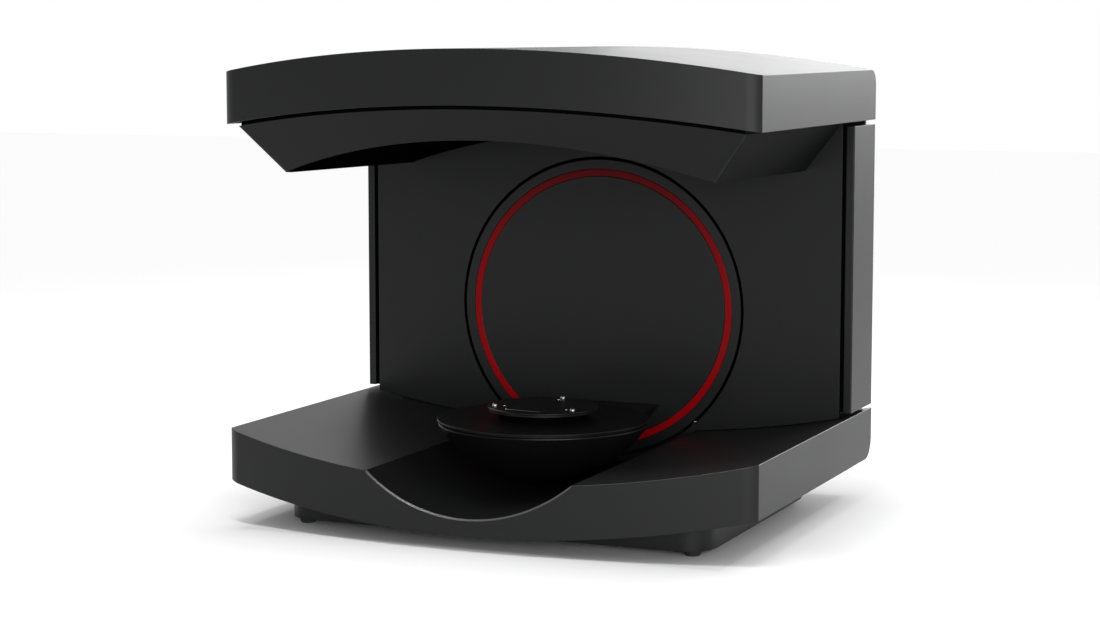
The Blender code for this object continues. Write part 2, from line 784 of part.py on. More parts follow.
def slot_outline(x, z, width, height):
    radius = width / 2
    ends = []
    for centre, first in ((z + height / 2 - radius, 0.0), (z - height / 2 + radius, math.pi)):
        for angle in spread(first, first + math.pi, 3):
            ends.append((x + radius * math.cos(angle), centre + radius * math.sin(angle)))
    return ends


# Rear cover with two groups of vents and the openings of the inlet, the switch and the port
def make_rear_cover():
    half = side_cover_inner - GAP
    reach = hood_plate_bottom - GAP
    top = [(x, min(hood_bottom(x) + REAR_COVER_RISE, reach)) for x in spread(-half, half, 15)]
    low = [(x, base_top(x) + WALL_BASE_GAP) for x in spread(half, -half, 15)]
    cover = prism("rear_cover", top + low, rear_cover_inner, rear_cover_outer, "dark paint", across="XZ")
    for side in (-1, 1):
        for i in range(VENT_COUNT):
            x = side * VENT_X + (i - (VENT_COUNT - 1) / 2) * VENT_PITCH
            outline = slot_outline(x, VENT_Z, VENT_WIDTH, VENT_HEIGHT)
            cut(cover, prism(f"vent_{'left' if side < 0 else 'right'}_{i + 1}", outline,
                             rear_cover_inner - SKIN, rear_cover_outer + SKIN, across="XZ"))
    for name, x, width, height in (
        ("inlet_hole", INLET_X, INLET_WIDTH, INLET_HEIGHT),
        ("switch_hole", SWITCH_X, SWITCH_WIDTH, SWITCH_HEIGHT),
        ("port_hole", PORT_X, PORT_WIDTH, PORT_HEIGHT),
    ):
        cut(cover, block(
            name,
            (x - width / 2 - GAP, rear_cover_inner - SKIN, INLET_Z - height / 2 - GAP),
            (x + width / 2 + GAP, rear_cover_outer + SKIN, INLET_Z + height / 2 + GAP),
        ))
    return cover


# Posts: two square tubes from the pads in the base to the hood plate
def make_posts():
    posts = []
    for side, word in ((-1, "left"), (1, "right")):
        x = side * post_middle
        low = post_low
        high = hood_plate_bottom - GAP
        post = block(f"post_{word}", (x - POST_WIDTH / 2, post_front, low), (x + POST_WIDTH / 2, post_rear, high),
                     "zinc sheet")
        inside = block(
            f"post_inside_{word}",
            (x - POST_WIDTH / 2 + POST_WALL, post_front + POST_WALL, low - SKIN),
            (x + POST_WIDTH / 2 - POST_WALL, post_rear - POST_WALL, high + SKIN),
        )
        cut(post, inside)
        posts.append(post)
    return posts


def make_screws(cover, posts):
    """Rear screws: round heads on the cover, shanks through it into the posts."""
    places = [(-1, SCREW_LOW), (1, SCREW_LOW), (-1, SCREW_HIGH), (1, SCREW_HIGH)]
    head_low = rear_cover_outer + GAP
    head_top = head_low + SCREW_HEAD
    for i, (side, z) in enumerate(places):
        x = side * post_middle
        hole = drilled(x, z, SCREW_RADIUS + SCREW_CLEARANCE, f"screw_hole_{i + 1}", segments=12)
        hole.location.y = rear_cover_inner - POST_WALL - SKIN - wall_y + SKIN
        cut(cover, hole)
        cut(posts[0 if side < 0 else 1], hole)
        screw = turned(
            f"rear_screw_{i + 1}",
            [
                (0, head_top), (SCREW_HEAD_RADIUS * 0.8, head_top), (SCREW_HEAD_RADIUS, head_top - SCREW_HEAD * 0.4),
                (SCREW_HEAD_RADIUS, head_low), (SCREW_RADIUS, head_low), (SCREW_RADIUS, head_low - SCREW_LENGTH),
                (0, head_low - SCREW_LENGTH),
            ],
            "steel",
            steps=12,
        )
        screw.rotation_euler = (-math.pi / 2, 0, 0)
        screw.location = (x, 0, z)


# Drive plate on the front of the posts
def make_drive_plate():
    half = post_inner + POST_WIDTH
    plate = block("drive_plate", (-half, plate_front, DRIVE_PLATE_LOW), (half, plate_rear, DRIVE_PLATE_HIGH),
                  "zinc sheet")
    motor_z = SWING_AXIS_Z + BELT_CENTRES
    for name, radius, z in (
        ("shaft_hole", SHAFT_RADIUS * 2, SWING_AXIS_Z),
        ("motor_hole", MOTOR_SHAFT_RADIUS * 2.4, motor_z),
    ):
        cut(plate, rod(name, radius, (0, plate_front - SKIN, z), (0, plate_rear + SKIN, z)))


# Swing disc with the groove that holds the red ring flush with its face
def make_disc():
    chamfer = EDGE_ROUND / 3
    groove = RING_DEPTH + GAP
    profile = [
        (0, disc_back), (DISC_RADIUS, disc_back), (DISC_RADIUS, wall_y + chamfer), (DISC_RADIUS - chamfer, wall_y),
        (RING_OUTER + GAP, wall_y), (RING_OUTER + GAP, wall_y + groove),
        (RING_INNER - GAP, wall_y + groove), (RING_INNER - GAP, wall_y), (0, wall_y),
    ]
    disc = lay_on_swing_axis(turned("swing_disc", profile, "dark paint", steps=52))
    ring_profile = [
        (RING_INNER, wall_y + RING_DEPTH), (RING_OUTER, wall_y + RING_DEPTH), (RING_OUTER, wall_y), (RING_INNER, wall_y),
    ]
    ring = lay_on_swing_axis(turned("red_ring", ring_profile, "red", steps=52, ring=True))
    return [disc, ring]


def cap_profile(radius, centre, height, facets):
    """Round cap below a height, from its edge down to the axis."""
    first = math.acos((centre - height) / radius)
    arc = [(radius * math.sin(a), centre - radius * math.cos(a)) for a in spread(first, 0.0, facets + 1)]
    return arc[:-1] + [(0.0, centre - radius)]


# Bowl and arm in one casting: the arm runs back to the disc
def make_bowl():
    cap_radius = (BOWL_DEPTH**2 + BOWL_RIM_RADIUS**2) / (2 * BOWL_DEPTH)
    centre = BOWL_TOP - BOWL_DEPTH + cap_radius
    outer = [(0, BOWL_TOP), (BOWL_RIM_RADIUS - BOWL_RIM_ROUND, BOWL_TOP)]
    outer += [(BOWL_RIM_RADIUS, BOWL_TOP - BOWL_RIM_ROUND)]
    outer += cap_profile(cap_radius, centre, BOWL_TOP - BOWL_RIM_ROUND, 8)[1:]
    bowl = stand_on_turntable_axis(turned("swing_arm", outer, "gloss black", steps=44))

    def arm_outline(wall, top):
        steep = wall * 1.3
        right = [
            (ARM_HALF_TOP - steep, top),
            (ARM_HALF_LOW - steep, ARM_LOW_Z + wall / 3),
            (ARM_BOTTOM_HALF - wall / 2, ARM_BOTTOM_Z + wall),
        ]
        return right + [(-x, z) for x, z in reversed(right)]

    arm_end = wall_y - GAP
    middle = (TURNTABLE_Y + arm_end) / 2
    arm = prism("arm_outer", arm_outline(0.0, BOWL_TOP), TURNTABLE_Y, arm_end, across="XZ")
    join(bowl, arm)

    inner_radius = BOWL_RIM_RADIUS - BOWL_WALL
    plug_radius = inner_radius - COVER_PLUG_CLEARANCE
    plug_bottom = cover_bottom - COVER_PLUG_DEPTH
    ledge = plug_bottom - COVER_PLUG_CLEARANCE
    above = BOWL_TOP + BOWL_WALL
    inner = [(0, above), (inner_radius, above), (inner_radius, ledge)]
    inner += cap_profile(cap_radius - BOWL_WALL, centre, ledge, 6)
    hollow = stand_on_turntable_axis(turned("bowl_hollow", inner, steps=32))
    under = BOWL_TOP - BOWL_WALL
    tunnel = prism("arm_hollow", arm_outline(BOWL_WALL, under), middle - BOWL_RIM_RADIUS / 3,
                   arm_end - ARM_END_WALL, across="XZ")
    cut(bowl, hollow, tunnel)

    hole = TURN_BEARING_RADIUS + GAP
    edge = EDGE_ROUND / 2
    cover = stand_on_turntable_axis(turned(
        "bowl_cover",
        [
            (hole, cover_top), (BOWL_RIM_RADIUS - edge, cover_top), (BOWL_RIM_RADIUS, cover_top - edge),
            (BOWL_RIM_RADIUS, cover_bottom), (plug_radius, cover_bottom),
            (plug_radius, plug_bottom), (hole, plug_bottom),
        ],
        "gloss black", steps=48, ring=True,
    ))
    return [bowl, cover]


# Turntable: motor and bearing in the bowl, and the shaft, hub, plate and balls that turn
def make_turntable():
    plug_bottom = cover_bottom - COVER_PLUG_DEPTH
    motor_top = plug_bottom - GAP
    side = TURN_MOTOR_SIDE / 2
    motor = block(
        "turntable_motor",
        (-side, TURNTABLE_Y - side, motor_top - TURN_MOTOR_HEIGHT),
        (side, TURNTABLE_Y + side, motor_top),
        "steel", edge=0.002,
    )
    bore = TURN_SHAFT_RADIUS + GAP
    cut(motor, rod("turn_bore", bore, (0, TURNTABLE_Y, motor_top - TURN_BORE_DEPTH),
                   (0, TURNTABLE_Y, motor_top + SKIN)))
    bearing = stand_on_turntable_axis(turned(
        "turntable_bearing",
        [
            (bore, cover_top - GAP), (TURN_BEARING_RADIUS, cover_top - GAP),
            (TURN_BEARING_RADIUS, plug_bottom), (bore, plug_bottom),
        ],
        "steel", steps=24, ring=True,
    ))

    hub_bottom = cover_top + GAP
    hub_top = plate_bottom - GAP
    shaft = rod("turntable_shaft", TURN_SHAFT_RADIUS, (0, TURNTABLE_Y, turn_shaft_foot), (0, TURNTABLE_Y, hub_top),
                "steel")
    hub = stand_on_turntable_axis(turned(
        "turntable_hub",
        [(bore, hub_top), (HUB_RADIUS, hub_top), (HUB_RADIUS, hub_bottom), (bore, hub_bottom)],
        "gloss black", steps=36, ring=True,
    ))
    step = PLATE_STEP
    plate = stand_on_turntable_axis(turned(
        "model_plate",
        [
            (0, PLATE_TOP), (PLATE_RADIUS - step, PLATE_TOP), (PLATE_RADIUS, PLATE_TOP - step),
            (PLATE_RADIUS, PLATE_TOP - 2 * step), (PLATE_RADIUS - step, PLATE_TOP - 2.5 * step),
            (PLATE_RADIUS - step, plate_bottom), (0, plate_bottom),
        ],
        "gloss black", steps=44,
    ))
    turning = [shaft, hub, plate]
    pocket = BALL_RADIUS + GAP
    ball_z = PLATE_TOP + BALL_PROUD
    for i in range(3):
        angle = math.radians(BALL_FIRST_ANGLE + 120 * i)
        x, y = BALL_CIRCLE * math.cos(angle), TURNTABLE_Y + BALL_CIRCLE * math.sin(angle)
        cut(plate, rod(f"ball_pocket_{i + 1}", pocket, (x, y, ball_z - pocket), (x, y, PLATE_TOP + SKIN), segments=10))
        bm = bmesh.new()
        bmesh.ops.create_uvsphere(bm, u_segments=10, v_segments=6, radius=BALL_RADIUS)
        ball = add_piece(f"locating_ball_{i + 1}", bm, "steel")
        ball.location = (x, y, ball_z)
        turning.append(ball)
        x, y = DIMPLE_CIRCLE * math.cos(angle), TURNTABLE_Y + DIMPLE_CIRCLE * math.sin(angle)
        cut(plate, rod(f"dimple_{i + 1}", DIMPLE_RADIUS, (x, y, PLATE_TOP - DIMPLE_DEPTH), (x, y, PLATE_TOP + SKIN),
                       segments=6))
    keyway = block(
        "keyway",
        (-KEYWAY_LENGTH / 2, -KEYWAY_DISTANCE - KEYWAY_WIDTH / 2, -KEYWAY_DEPTH),
        (KEYWAY_LENGTH / 2, -KEYWAY_DISTANCE + KEYWAY_WIDTH / 2, SKIN),
    )
    keyway.rotation_euler.z = math.radians(KEYWAY_ANGLE)
    keyway.location = (0, TURNTABLE_Y, PLATE_TOP)
    cut(plate, keyway)
    return [motor, bearing], turning


# Swing shaft, bearings and nut on the swing's axis, behind the disc
def make_shaft():
    flange_front = disc_back + GAP
    flange_back = flange_front + SHAFT_FLANGE
    housing_front = post_front
    housing_rear = housing_front + HOUSING_LENGTH
    nut_front = housing_rear + GAP
    shaft_end = nut_front + NUT_THICKNESS
    shaft = lay_on_swing_axis(turned(
        "swing_shaft",
        [
            (0, shaft_end), (SHAFT_RADIUS, shaft_end), (SHAFT_RADIUS, flange_back),
            (SHAFT_FLANGE_RADIUS, flange_back), (SHAFT_FLANGE_RADIUS, flange_front), (0, flange_front),
        ],
        "steel", steps=32,
    ))
    bore = SHAFT_RADIUS + GAP
    seat = BEARING_RADIUS + GAP
    shoulder = BEARING_RADIUS - SKIN
    seat_depth = BEARING_WIDTH + GAP
    lay_on_swing_axis(turned(
        "bearing_housing",
        [
            (seat, housing_rear), (HOUSING_RADIUS, housing_rear), (HOUSING_RADIUS, housing_front + HOUSING_FLANGE),
            (HOUSING_FLANGE_RADIUS, housing_front + HOUSING_FLANGE), (HOUSING_FLANGE_RADIUS, housing_front),
            (seat, housing_front), (seat, housing_front + seat_depth), (shoulder, housing_front + seat_depth),
            (shoulder, housing_rear - seat_depth), (seat, housing_rear - seat_depth),
        ],
        "aluminium", steps=24, ring=True,
    ))
    for name, start in (("bearing_front", housing_front), ("bearing_rear", housing_rear - BEARING_WIDTH)):
        end = start + BEARING_WIDTH
        lay_on_swing_axis(turned(
            name, [(bore, end), (BEARING_RADIUS, end), (BEARING_RADIUS, start), (bore, start)],
            "steel", steps=20, ring=True,
        ))
    nut = rod("shaft_nut", NUT_RADIUS, (0, nut_front, SWING_AXIS_Z), (0, shaft_end, SWING_AXIS_Z), "steel", segments=6)
    cut(nut, rod("nut_bore", bore, (0, nut_front - SKIN, SWING_AXIS_Z), (0, shaft_end + SKIN, SWING_AXIS_Z)))
    return [shaft, nut]


def toothed_outline(teeth, centre_z):
    """Flat-topped teeth round a pulley, four points to a tooth."""
    tip = teeth * TOOTH_PITCH / (2 * math.pi)
    points = []
    for tooth in range(teeth):
        for share, radius in ((0.00, tip - TOOTH_DEPTH), (0.30, tip - TOOTH_DEPTH), (0.42, tip), (0.88, tip)):
            angle = 2 * math.pi * (tooth + share) / teeth
            points.append((radius * math.cos(angle), centre_z + radius * math.sin(angle)))
    return points, tip


def belt_path(low_radius, high_radius, facets):
    """Open-belt loop about the two pulley centres, as points of x and z."""
    lean = math.asin((low_radius - high_radius) / BELT_CENTRES)
    low_angles = spread(math.pi - lean, 2 * math.pi + lean, facets * 2)
    high_angles = spread(lean, math.pi - lean, facets)
    low = [(low_radius * math.cos(a), SWING_AXIS_Z + low_radius * math.sin(a)) for a in low_angles]
    high_z = SWING_AXIS_Z + BELT_CENTRES
    return low + [(high_radius * math.cos(a), high_z + high_radius * math.sin(a)) for a in high_angles]


# Belt drive: the large pulley on the swing's shaft, the belt, and the motor with its pulley
def make_drive():
    pulley_front = disc_back + GAP + SHAFT_FLANGE + GAP
    pulley_rear = pulley_front + PULLEY_WIDTH
    motor_z = SWING_AXIS_Z + BELT_CENTRES
    outline, tip = toothed_outline(PULLEY_TEETH, SWING_AXIS_Z)
    pulley = prism("swing_pulley", outline, pulley_front, pulley_rear, "aluminium", across="XZ")
    cut(pulley, rod("pulley_bore", SHAFT_RADIUS + GAP, (0, pulley_front - SKIN / 2, SWING_AXIS_Z),
                    (0, pulley_rear + SKIN / 2, SWING_AXIS_Z)))
    outline, motor_tip = toothed_outline(MOTOR_PULLEY_TEETH, motor_z)
    motor_pulley = prism("motor_pulley", outline, pulley_front, pulley_rear, "aluminium", across="XZ")
    bore = MOTOR_SHAFT_RADIUS + GAP
    cut(motor_pulley, rod("motor_pulley_bore", bore, (0, pulley_front - SKIN, motor_z),
                          (0, pulley_rear + SKIN, motor_z), segments=12))

    belt_front = (pulley_front + pulley_rear - BELT_WIDTH) / 2
    inner = belt_path(tip + GAP, motor_tip + GAP, 12)
    outer = belt_path(tip + GAP + BELT_THICKNESS, motor_tip + GAP + BELT_THICKNESS, 12)
    sections = [
        [(a, belt_front, b), (c, belt_front, d), (c, belt_front + BELT_WIDTH, d), (a, belt_front + BELT_WIDTH, b)]
        for (a, b), (c, d) in zip(inner, outer)
    ]
    loft("drive_belt", sections, "rubber", closed=True)

    side = MOTOR_SIDE / 2
    motor = block("swing_motor", (-side, post_front, motor_z - side),
                  (side, post_front + MOTOR_LENGTH, motor_z + side), "steel", edge=0.003)
    chamber_front = post_front + MOTOR_WALL
    rotor_front = chamber_front + ROTOR_CLEARANCE
    rotor_rear = rotor_front + ROTOR_LENGTH
    cut(motor, rod("motor_bore", bore, (0, post_front - SKIN, motor_z), (0, rotor_front, motor_z), segments=12),
        rod("motor_chamber", ROTOR_RADIUS + ROTOR_CLEARANCE, (0, chamber_front, motor_z),
            (0, rotor_rear + ROTOR_CLEARANCE, motor_z), segments=24))
    rotor = rod("motor_rotor", ROTOR_RADIUS, (0, rotor_front, motor_z), (0, rotor_rear, motor_z), "steel", segments=24)
    cut(rotor, rod("rotor_bore", bore, (0, rotor_front - SKIN, motor_z), (0, rotor_rear + SKIN, motor_z), segments=12))
    shaft = rod("motor_shaft", MOTOR_SHAFT_RADIUS, (0, pulley_front, motor_z), (0, rotor_rear, motor_z), "steel",
                segments=12)
    return [pulley], [motor_pulley, shaft, rotor]


def visor_arch(x):
    """Lower edge of the visor, a circular arch that ends in its lower corners."""
    radius = (VISOR_HALF_BOTTOM**2 + VISOR_ARCH_RISE**2) / (2 * VISOR_ARCH_RISE)
    return VISOR_ARCH_TOP - radius + math.sqrt(radius**2 - x**2)


def visor_top(x):
    return hood_bottom(x) - VISOR_GAP


def visor_setback(x):
    return VISOR_LOW_SETBACK + (VISOR_LOW_SETBACK_CORNER - VISOR_LOW_SETBACK) * (x / VISOR_HALF_BOTTOM) ** 2


# Visor: one wall section carried along the left side, the bowed front and the right side
def make_visor():
    top_walk = front_walk(visor_half_top, VISOR_TOP_SETBACK, VISOR_CORNER_TOP, VISOR_FACETS)
    corner_setback = visor_setback(VISOR_HALF_BOTTOM)
    low_walk = front_walk(VISOR_HALF_BOTTOM, corner_setback, VISOR_CORNER_BOTTOM, VISOR_FACETS)
    rim_z = hood_plate_bottom - GAP
    rim_far = VISOR_RIM_INSET + VISOR_RIM_THICKNESS

    def section(top_point, low_point, inward, low_z, top_z):
        (tx, ty), (lx, ly), (nx, ny) = top_point, low_point, inward
        lean_x, lean_y = (lx - tx) / (top_z - low_z), (ly - ty) / (top_z - low_z)
        lean = math.hypot(lean_x, lean_y)
        below = max(rim_far - VISOR_LIP, 0.0) / max(lean, 0.1)
        return [
            (tx + nx * VISOR_RIM_INSET, ty + ny * VISOR_RIM_INSET, rim_z),
            (tx + nx * VISOR_RIM_INSET, ty + ny * VISOR_RIM_INSET, top_z),
            (tx, ty, top_z),
            (lx, ly, low_z),
            (lx + nx * VISOR_LIP, ly + ny * VISOR_LIP, low_z),
            (tx + nx * rim_far, ty + ny * rim_far, top_z - below),
            (tx + nx * rim_far, ty + ny * rim_far, rim_z),
        ]

    front_part = []
    for (tx, t_angle), (lx, l_angle) in zip(top_walk, low_walk):
        ty = front_y(tx, visor_half_top, VISOR_TOP_SETBACK, VISOR_CORNER_TOP, None)
        ly = front_y(lx, VISOR_HALF_BOTTOM, visor_setback(lx), VISOR_CORNER_BOTTOM, None)
        inward = (-math.sin(l_angle), math.cos(l_angle))
        front_part.append(section((tx, ty), (lx, ly), inward, visor_arch(lx), visor_top(tx)))
    back = wall_y - GAP
    side_low = visor_arch(VISOR_HALF_BOTTOM) - VISOR_SIDE_DROP
    side_top = visor_top(visor_half_top)
    ends = [
        section((side * visor_half_top, back), (side * VISOR_HALF_BOTTOM, back), (-side, 0), side_low, side_top)
        for side in (-1, 1)
    ]
    loft("visor_shell", [ends[0]] + front_part + [ends[1]], "dark paint")


def panel_low(x, y):
    """Lower face of the optics panel: the visor's arch, a little higher, and lower to the rear."""
    share = (y - front_middle) / (wall_y - front_middle)
    return visor_arch(x) + PANEL_RECESS - PANEL_REAR_DROP * share


def target_line(distance, side):
    """Point on a camera's line of sight, a distance from the model on the turntable."""
    angle = math.radians(CAMERA_ANGLE)
    return Vector((side * distance * math.sin(angle), OPTICS_Y, TARGET_Z + distance * math.cos(angle)))


def window_distance():
    """How far along a camera's line of sight the panel's upper face lies."""
    distance = 0.15
    while True:
        point = target_line(distance, 1)
        if point.z >= panel_low(point.x, point.y) + SKIN:
            return distance
        distance += 0.0005


# Optics: the arched panel with three round windows, and the cameras and projector over it
def make_optics():
    half = VISOR_HALF_BOTTOM - VISOR_LIP - PANEL_EDGE_CLEARANCE
    back = wall_y - GAP
    sections = []
    for x in spread(-half, half, 21):
        low_x = min(abs(x), half - VISOR_CORNER_BOTTOM / 2)
        front = front_y(low_x, VISOR_HALF_BOTTOM, visor_setback(low_x), VISOR_CORNER_BOTTOM, None)
        front += VISOR_LIP + PANEL_FRONT_CLEARANCE
        if abs(x) > half - VISOR_CORNER_BOTTOM / 2:
            front += VISOR_CORNER_BOTTOM / 2
        sections.append([
            (x, front, panel_low(x, front)), (x, back, panel_low(x, back)),
            (x, back, panel_low(x, back) + SKIN), (x, front, panel_low(x, front) + SKIN),
        ])
    panel = loft("optics_panel", sections, "matte black")
    near = window_distance()
    for side, word in ((-1, "left"), (1, "right")):
        cut(panel, rod(f"camera_window_{word}", CAMERA_WINDOW_RADIUS, target_line(near - 0.02, side),
                       target_line(near + 0.02, side), segments=24))
    middle_z = panel_low(0, OPTICS_Y)
    cut(panel, rod("projector_window", PROJECTOR_WINDOW_RADIUS, (0, OPTICS_Y, middle_z - 0.02),
                   (0, OPTICS_Y, middle_z + 0.02), segments=24))

    lens_tip = near + LENS_TIP_CLEARANCE
    body_low = lens_tip + LENS_LENGTH + GAP
    body_high = body_low + CAMERA_HEIGHT
    lens_profile = barrel_profile(LENS_RADIUS, LENS_LENGTH)
    for side, word in ((-1, "left"), (1, "right")):
        lens = turned(f"camera_lens_{word}", lens_profile, "glass", steps=18)
        lens.location = target_line(lens_tip, side)
        lens.rotation_euler = (0, side * math.radians(CAMERA_ANGLE), 0)
        width = CAMERA_SIDE / 2
        camera = block(f"camera_{word}", (-width, -width, 0), (width, width, CAMERA_HEIGHT), "matte black", edge=0.0015)
        camera.location = target_line(body_low, side)
        camera.rotation_euler = (0, side * math.radians(CAMERA_ANGLE), 0)

    wing_middle = target_line(body_high + GAP, 1)
    angle = math.radians(CAMERA_ANGLE)
    along = Vector((math.cos(angle), 0, -math.sin(angle)))
    wing_in = wing_middle - along * CAMERA_SIDE * 0.6
    wing_out = wing_middle + along * CAMERA_SIDE * 0.6
    foot_z = hood_plate_top + GAP
    foot_in = OPTICS_HOLE_HALF + SKIN
    lower = [
        (wing_in.x, wing_in.z), (wing_out.x, wing_out.z), (foot_in, foot_z), (foot_in + BRACKET_FOOT, foot_z),
    ]
    lower = [(-x, z) for x, z in reversed(lower)] + lower
    upper = [(x, z + BRACKET_SHEET) for x, z in reversed(lower)]
    prism("optics_bracket", lower + upper, OPTICS_Y - BRACKET_DEPTH / 2, OPTICS_Y + BRACKET_DEPTH / 2,
          "zinc sheet", across="XZ")

    body_high_z = wing_in.z - GAP
    body_low_z = body_high_z - PROJECTOR_HEIGHT
    width, depth = PROJECTOR_WIDTH / 2, PROJECTOR_DEPTH / 2
    block("projector", (-width, OPTICS_Y - depth, body_low_z), (width, OPTICS_Y + depth, body_high_z),
          "matte black", edge=0.002)
    lens_length = body_low_z - GAP - (middle_z + SKIN + LENS_TIP_CLEARANCE)
    lens = turned("projector_lens", barrel_profile(PROJECTOR_LENS_RADIUS, lens_length), "glass", steps=18)
    lens.location = (0, OPTICS_Y, body_low_z - GAP - lens_length)


def barrel_profile(radius, length):
    """Lens barrel with a stepped front ring and a sunk, curved front glass."""
    glass = radius * 0.7
    return [
        (0, length), (radius * 0.85, length), (radius * 0.85, length * 0.45), (radius, length * 0.40),
        (radius, radius * 0.08), (radius * 0.94, 0), (radius * 0.82, 0), (glass, length * 0.12),
        (0, length * 0.055),
    ]


# Power supply and control board on the pan
def make_electronics():
    low = pan_floor + GAP
    supply = block("power_supply", (supply_x - SUPPLY_WIDTH / 2, -SUPPLY_LENGTH / 2, low),
                   (supply_x + SUPPLY_WIDTH / 2, SUPPLY_LENGTH / 2, low + SUPPLY_HEIGHT), "zinc sheet", edge=0.001)
    for i, share in enumerate(spread(-0.4, 0.4, 7)):
        y = share * SUPPLY_LENGTH
        groove = SUPPLY_WIDTH * 0.35
        cut(supply, block(f"supply_vent_{i + 1}", (supply_x - groove, y - 0.0015, low + SUPPLY_HEIGHT - 0.002),
                          (supply_x + groove, y + 0.0015, low + SUPPLY_HEIGHT + SKIN)))
    board_low = pan_floor + BOARD_STANDOFF + GAP
    board_top = board_low + BOARD_THICKNESS
    board = block("control_board", (board_x - BOARD_WIDTH / 2, -BOARD_LENGTH / 2, board_low),
                  (board_x + BOARD_WIDTH / 2, BOARD_LENGTH / 2, board_top), "circuit board")
    for name, x, y, width, length, height in (
        ("processor", 0.00, -0.08, 0.37, 0.17, 2.5),
        ("heat_sink", 0.23, 0.28, 0.33, 0.23, 6.0),
        ("board_socket", -0.30, 0.38, 0.27, 0.14, 5.5),
        ("motor_driver", -0.20, -0.34, 0.23, 0.11, 2.0),
    ):
        left, right = (board_x + (x + end * width / 2) * BOARD_WIDTH for end in (-1, 1))
        near, far = ((y + end * length / 2) * BOARD_LENGTH for end in (-1, 1))
        join(board, block(name, (left, near, board_top - BOARD_THICKNESS / 2),
                          (right, far, board_top + height * BOARD_THICKNESS)))


def socket_body(name, x, width, height, depth, socket_depth, wall, flange, finish):
    """Panel part with a flange on the rear cover and a socket open to the rear."""
    face = rear_cover_outer + GAP
    outer = face + flange
    body = block(name, (x - width / 2, outer - depth, INLET_Z - height / 2), (x + width / 2, outer, INLET_Z + height / 2),
                 finish)
    margin = flange
    plate = block(f"{name}_flange", (x - width / 2 - margin, face, INLET_Z - height / 2 - margin),
                  (x + width / 2 + margin, outer - flange / 8, INLET_Z + height / 2 + margin))
    join(body, plate)
    hollow = block(f"{name}_socket", (x - width / 2 + wall, outer - socket_depth, INLET_Z - height / 2 + wall),
                   (x + width / 2 - wall, outer + SKIN, INLET_Z + height / 2 - wall))
    cut(body, hollow)
    return body, outer


# Inlet, port and switch in the rear cover
def make_rear_sockets():
    inlet, outer = socket_body("power_inlet", INLET_X, INLET_WIDTH, INLET_HEIGHT, INLET_DEPTH, INLET_SOCKET_DEPTH,
                               INLET_WALL, INLET_FLANGE - GAP, "matte black")
    for i, (dx, dz) in enumerate(((-1, -0.25), (1, -0.25), (0, 0.35))):
        x = INLET_X + dx * INLET_PIN_PITCH
        z = INLET_Z + dz * INLET_PIN_PITCH
        join(inlet, block(f"inlet_pin_{i + 1}", (x - 0.001, outer - INLET_SOCKET_DEPTH - 0.002, z - 0.002),
                          (x + 0.001, outer - INLET_PIN_RECESS, z + 0.002)))
    port, outer = socket_body("usb_port", PORT_X, PORT_WIDTH, PORT_HEIGHT, PORT_DEPTH, PORT_SOCKET_DEPTH,
                              PORT_WALL, PLATE_FLANGE, "steel")
    join(port, block("port_tongue", (PORT_X - 0.0028, outer - PORT_SOCKET_DEPTH - 0.002, INLET_Z - 0.0015),
                     (PORT_X + 0.0028, outer - PORT_TONGUE_RECESS, INLET_Z + 0.0015)))
    frame, outer = socket_body("switch_frame", SWITCH_X, SWITCH_WIDTH, SWITCH_HEIGHT, SWITCH_DEPTH,
                               SWITCH_DEPTH - SKIN, SWITCH_WALL, PLATE_FLANGE, "matte black")

    half = SWITCH_HEIGHT / 2 - SWITCH_WALL - ROCKER_CLEARANCE
    width = SWITCH_WIDTH / 2 - SWITCH_WALL - ROCKER_CLEARANCE / 2
    tilt = math.radians(ROCKER_ANGLE)
    pivot_y = outer - ROCKER_THICKNESS / 2 - half * math.sin(tilt)
    front_dip = half * math.tan(tilt)
    face = ROCKER_THICKNESS / 2
    profile = [(-face, -half * 0.75), (-face, half * 0.75), (face, half), (face - front_dip, 0), (face, -half)]
    sections = [[(x, y, z) for y, z in profile] for x in (-width, width)]
    rocker = loft("power_rocker", sections, "gloss black")
    rocker.location = (SWITCH_X, pivot_y, INLET_Z)
    rocker.rotation_euler.x = tilt
    return rocker, (SWITCH_X, pivot_y, INLET_Z)


post_low = base_bottom(post_inner + POST_WIDTH) + SKIN + POST_PAD_HEIGHT

make_hood()
make_base()
make_pan()
make_wall()
make_side_covers()
rear_cover_piece = make_rear_cover()
post_pieces = make_posts()
make_screws(rear_cover_piece, post_pieces)
make_drive_plate()
disc_pieces = make_disc()
bowl_pieces = make_bowl()
turntable_fixed, turntable_turning = make_turntable()
shaft_pieces = make_shaft()
swing_pulley_piece, motor_turning = make_drive()
make_visor()
make_optics()
make_electronics()
rocker_piece, rocker_place = make_rear_sockets()

swing_axis = carry(
    "swing_axis", (0, wall_y, SWING_AXIS_Z),
    disc_pieces + bowl_pieces + turntable_fixed + shaft_pieces + swing_pulley_piece,
)
carry("turntable_axis", (0, TURNTABLE_Y, plate_bottom), turntable_turning, holder=swing_axis)
carry("motor_axis", (0, post_front, SWING_AXIS_Z + BELT_CENTRES), motor_turning)
carry("rocker_axis", rocker_place, [rocker_piece])
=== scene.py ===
import json
import math

import bmesh
import bpy
from mathutils import Matrix, Vector

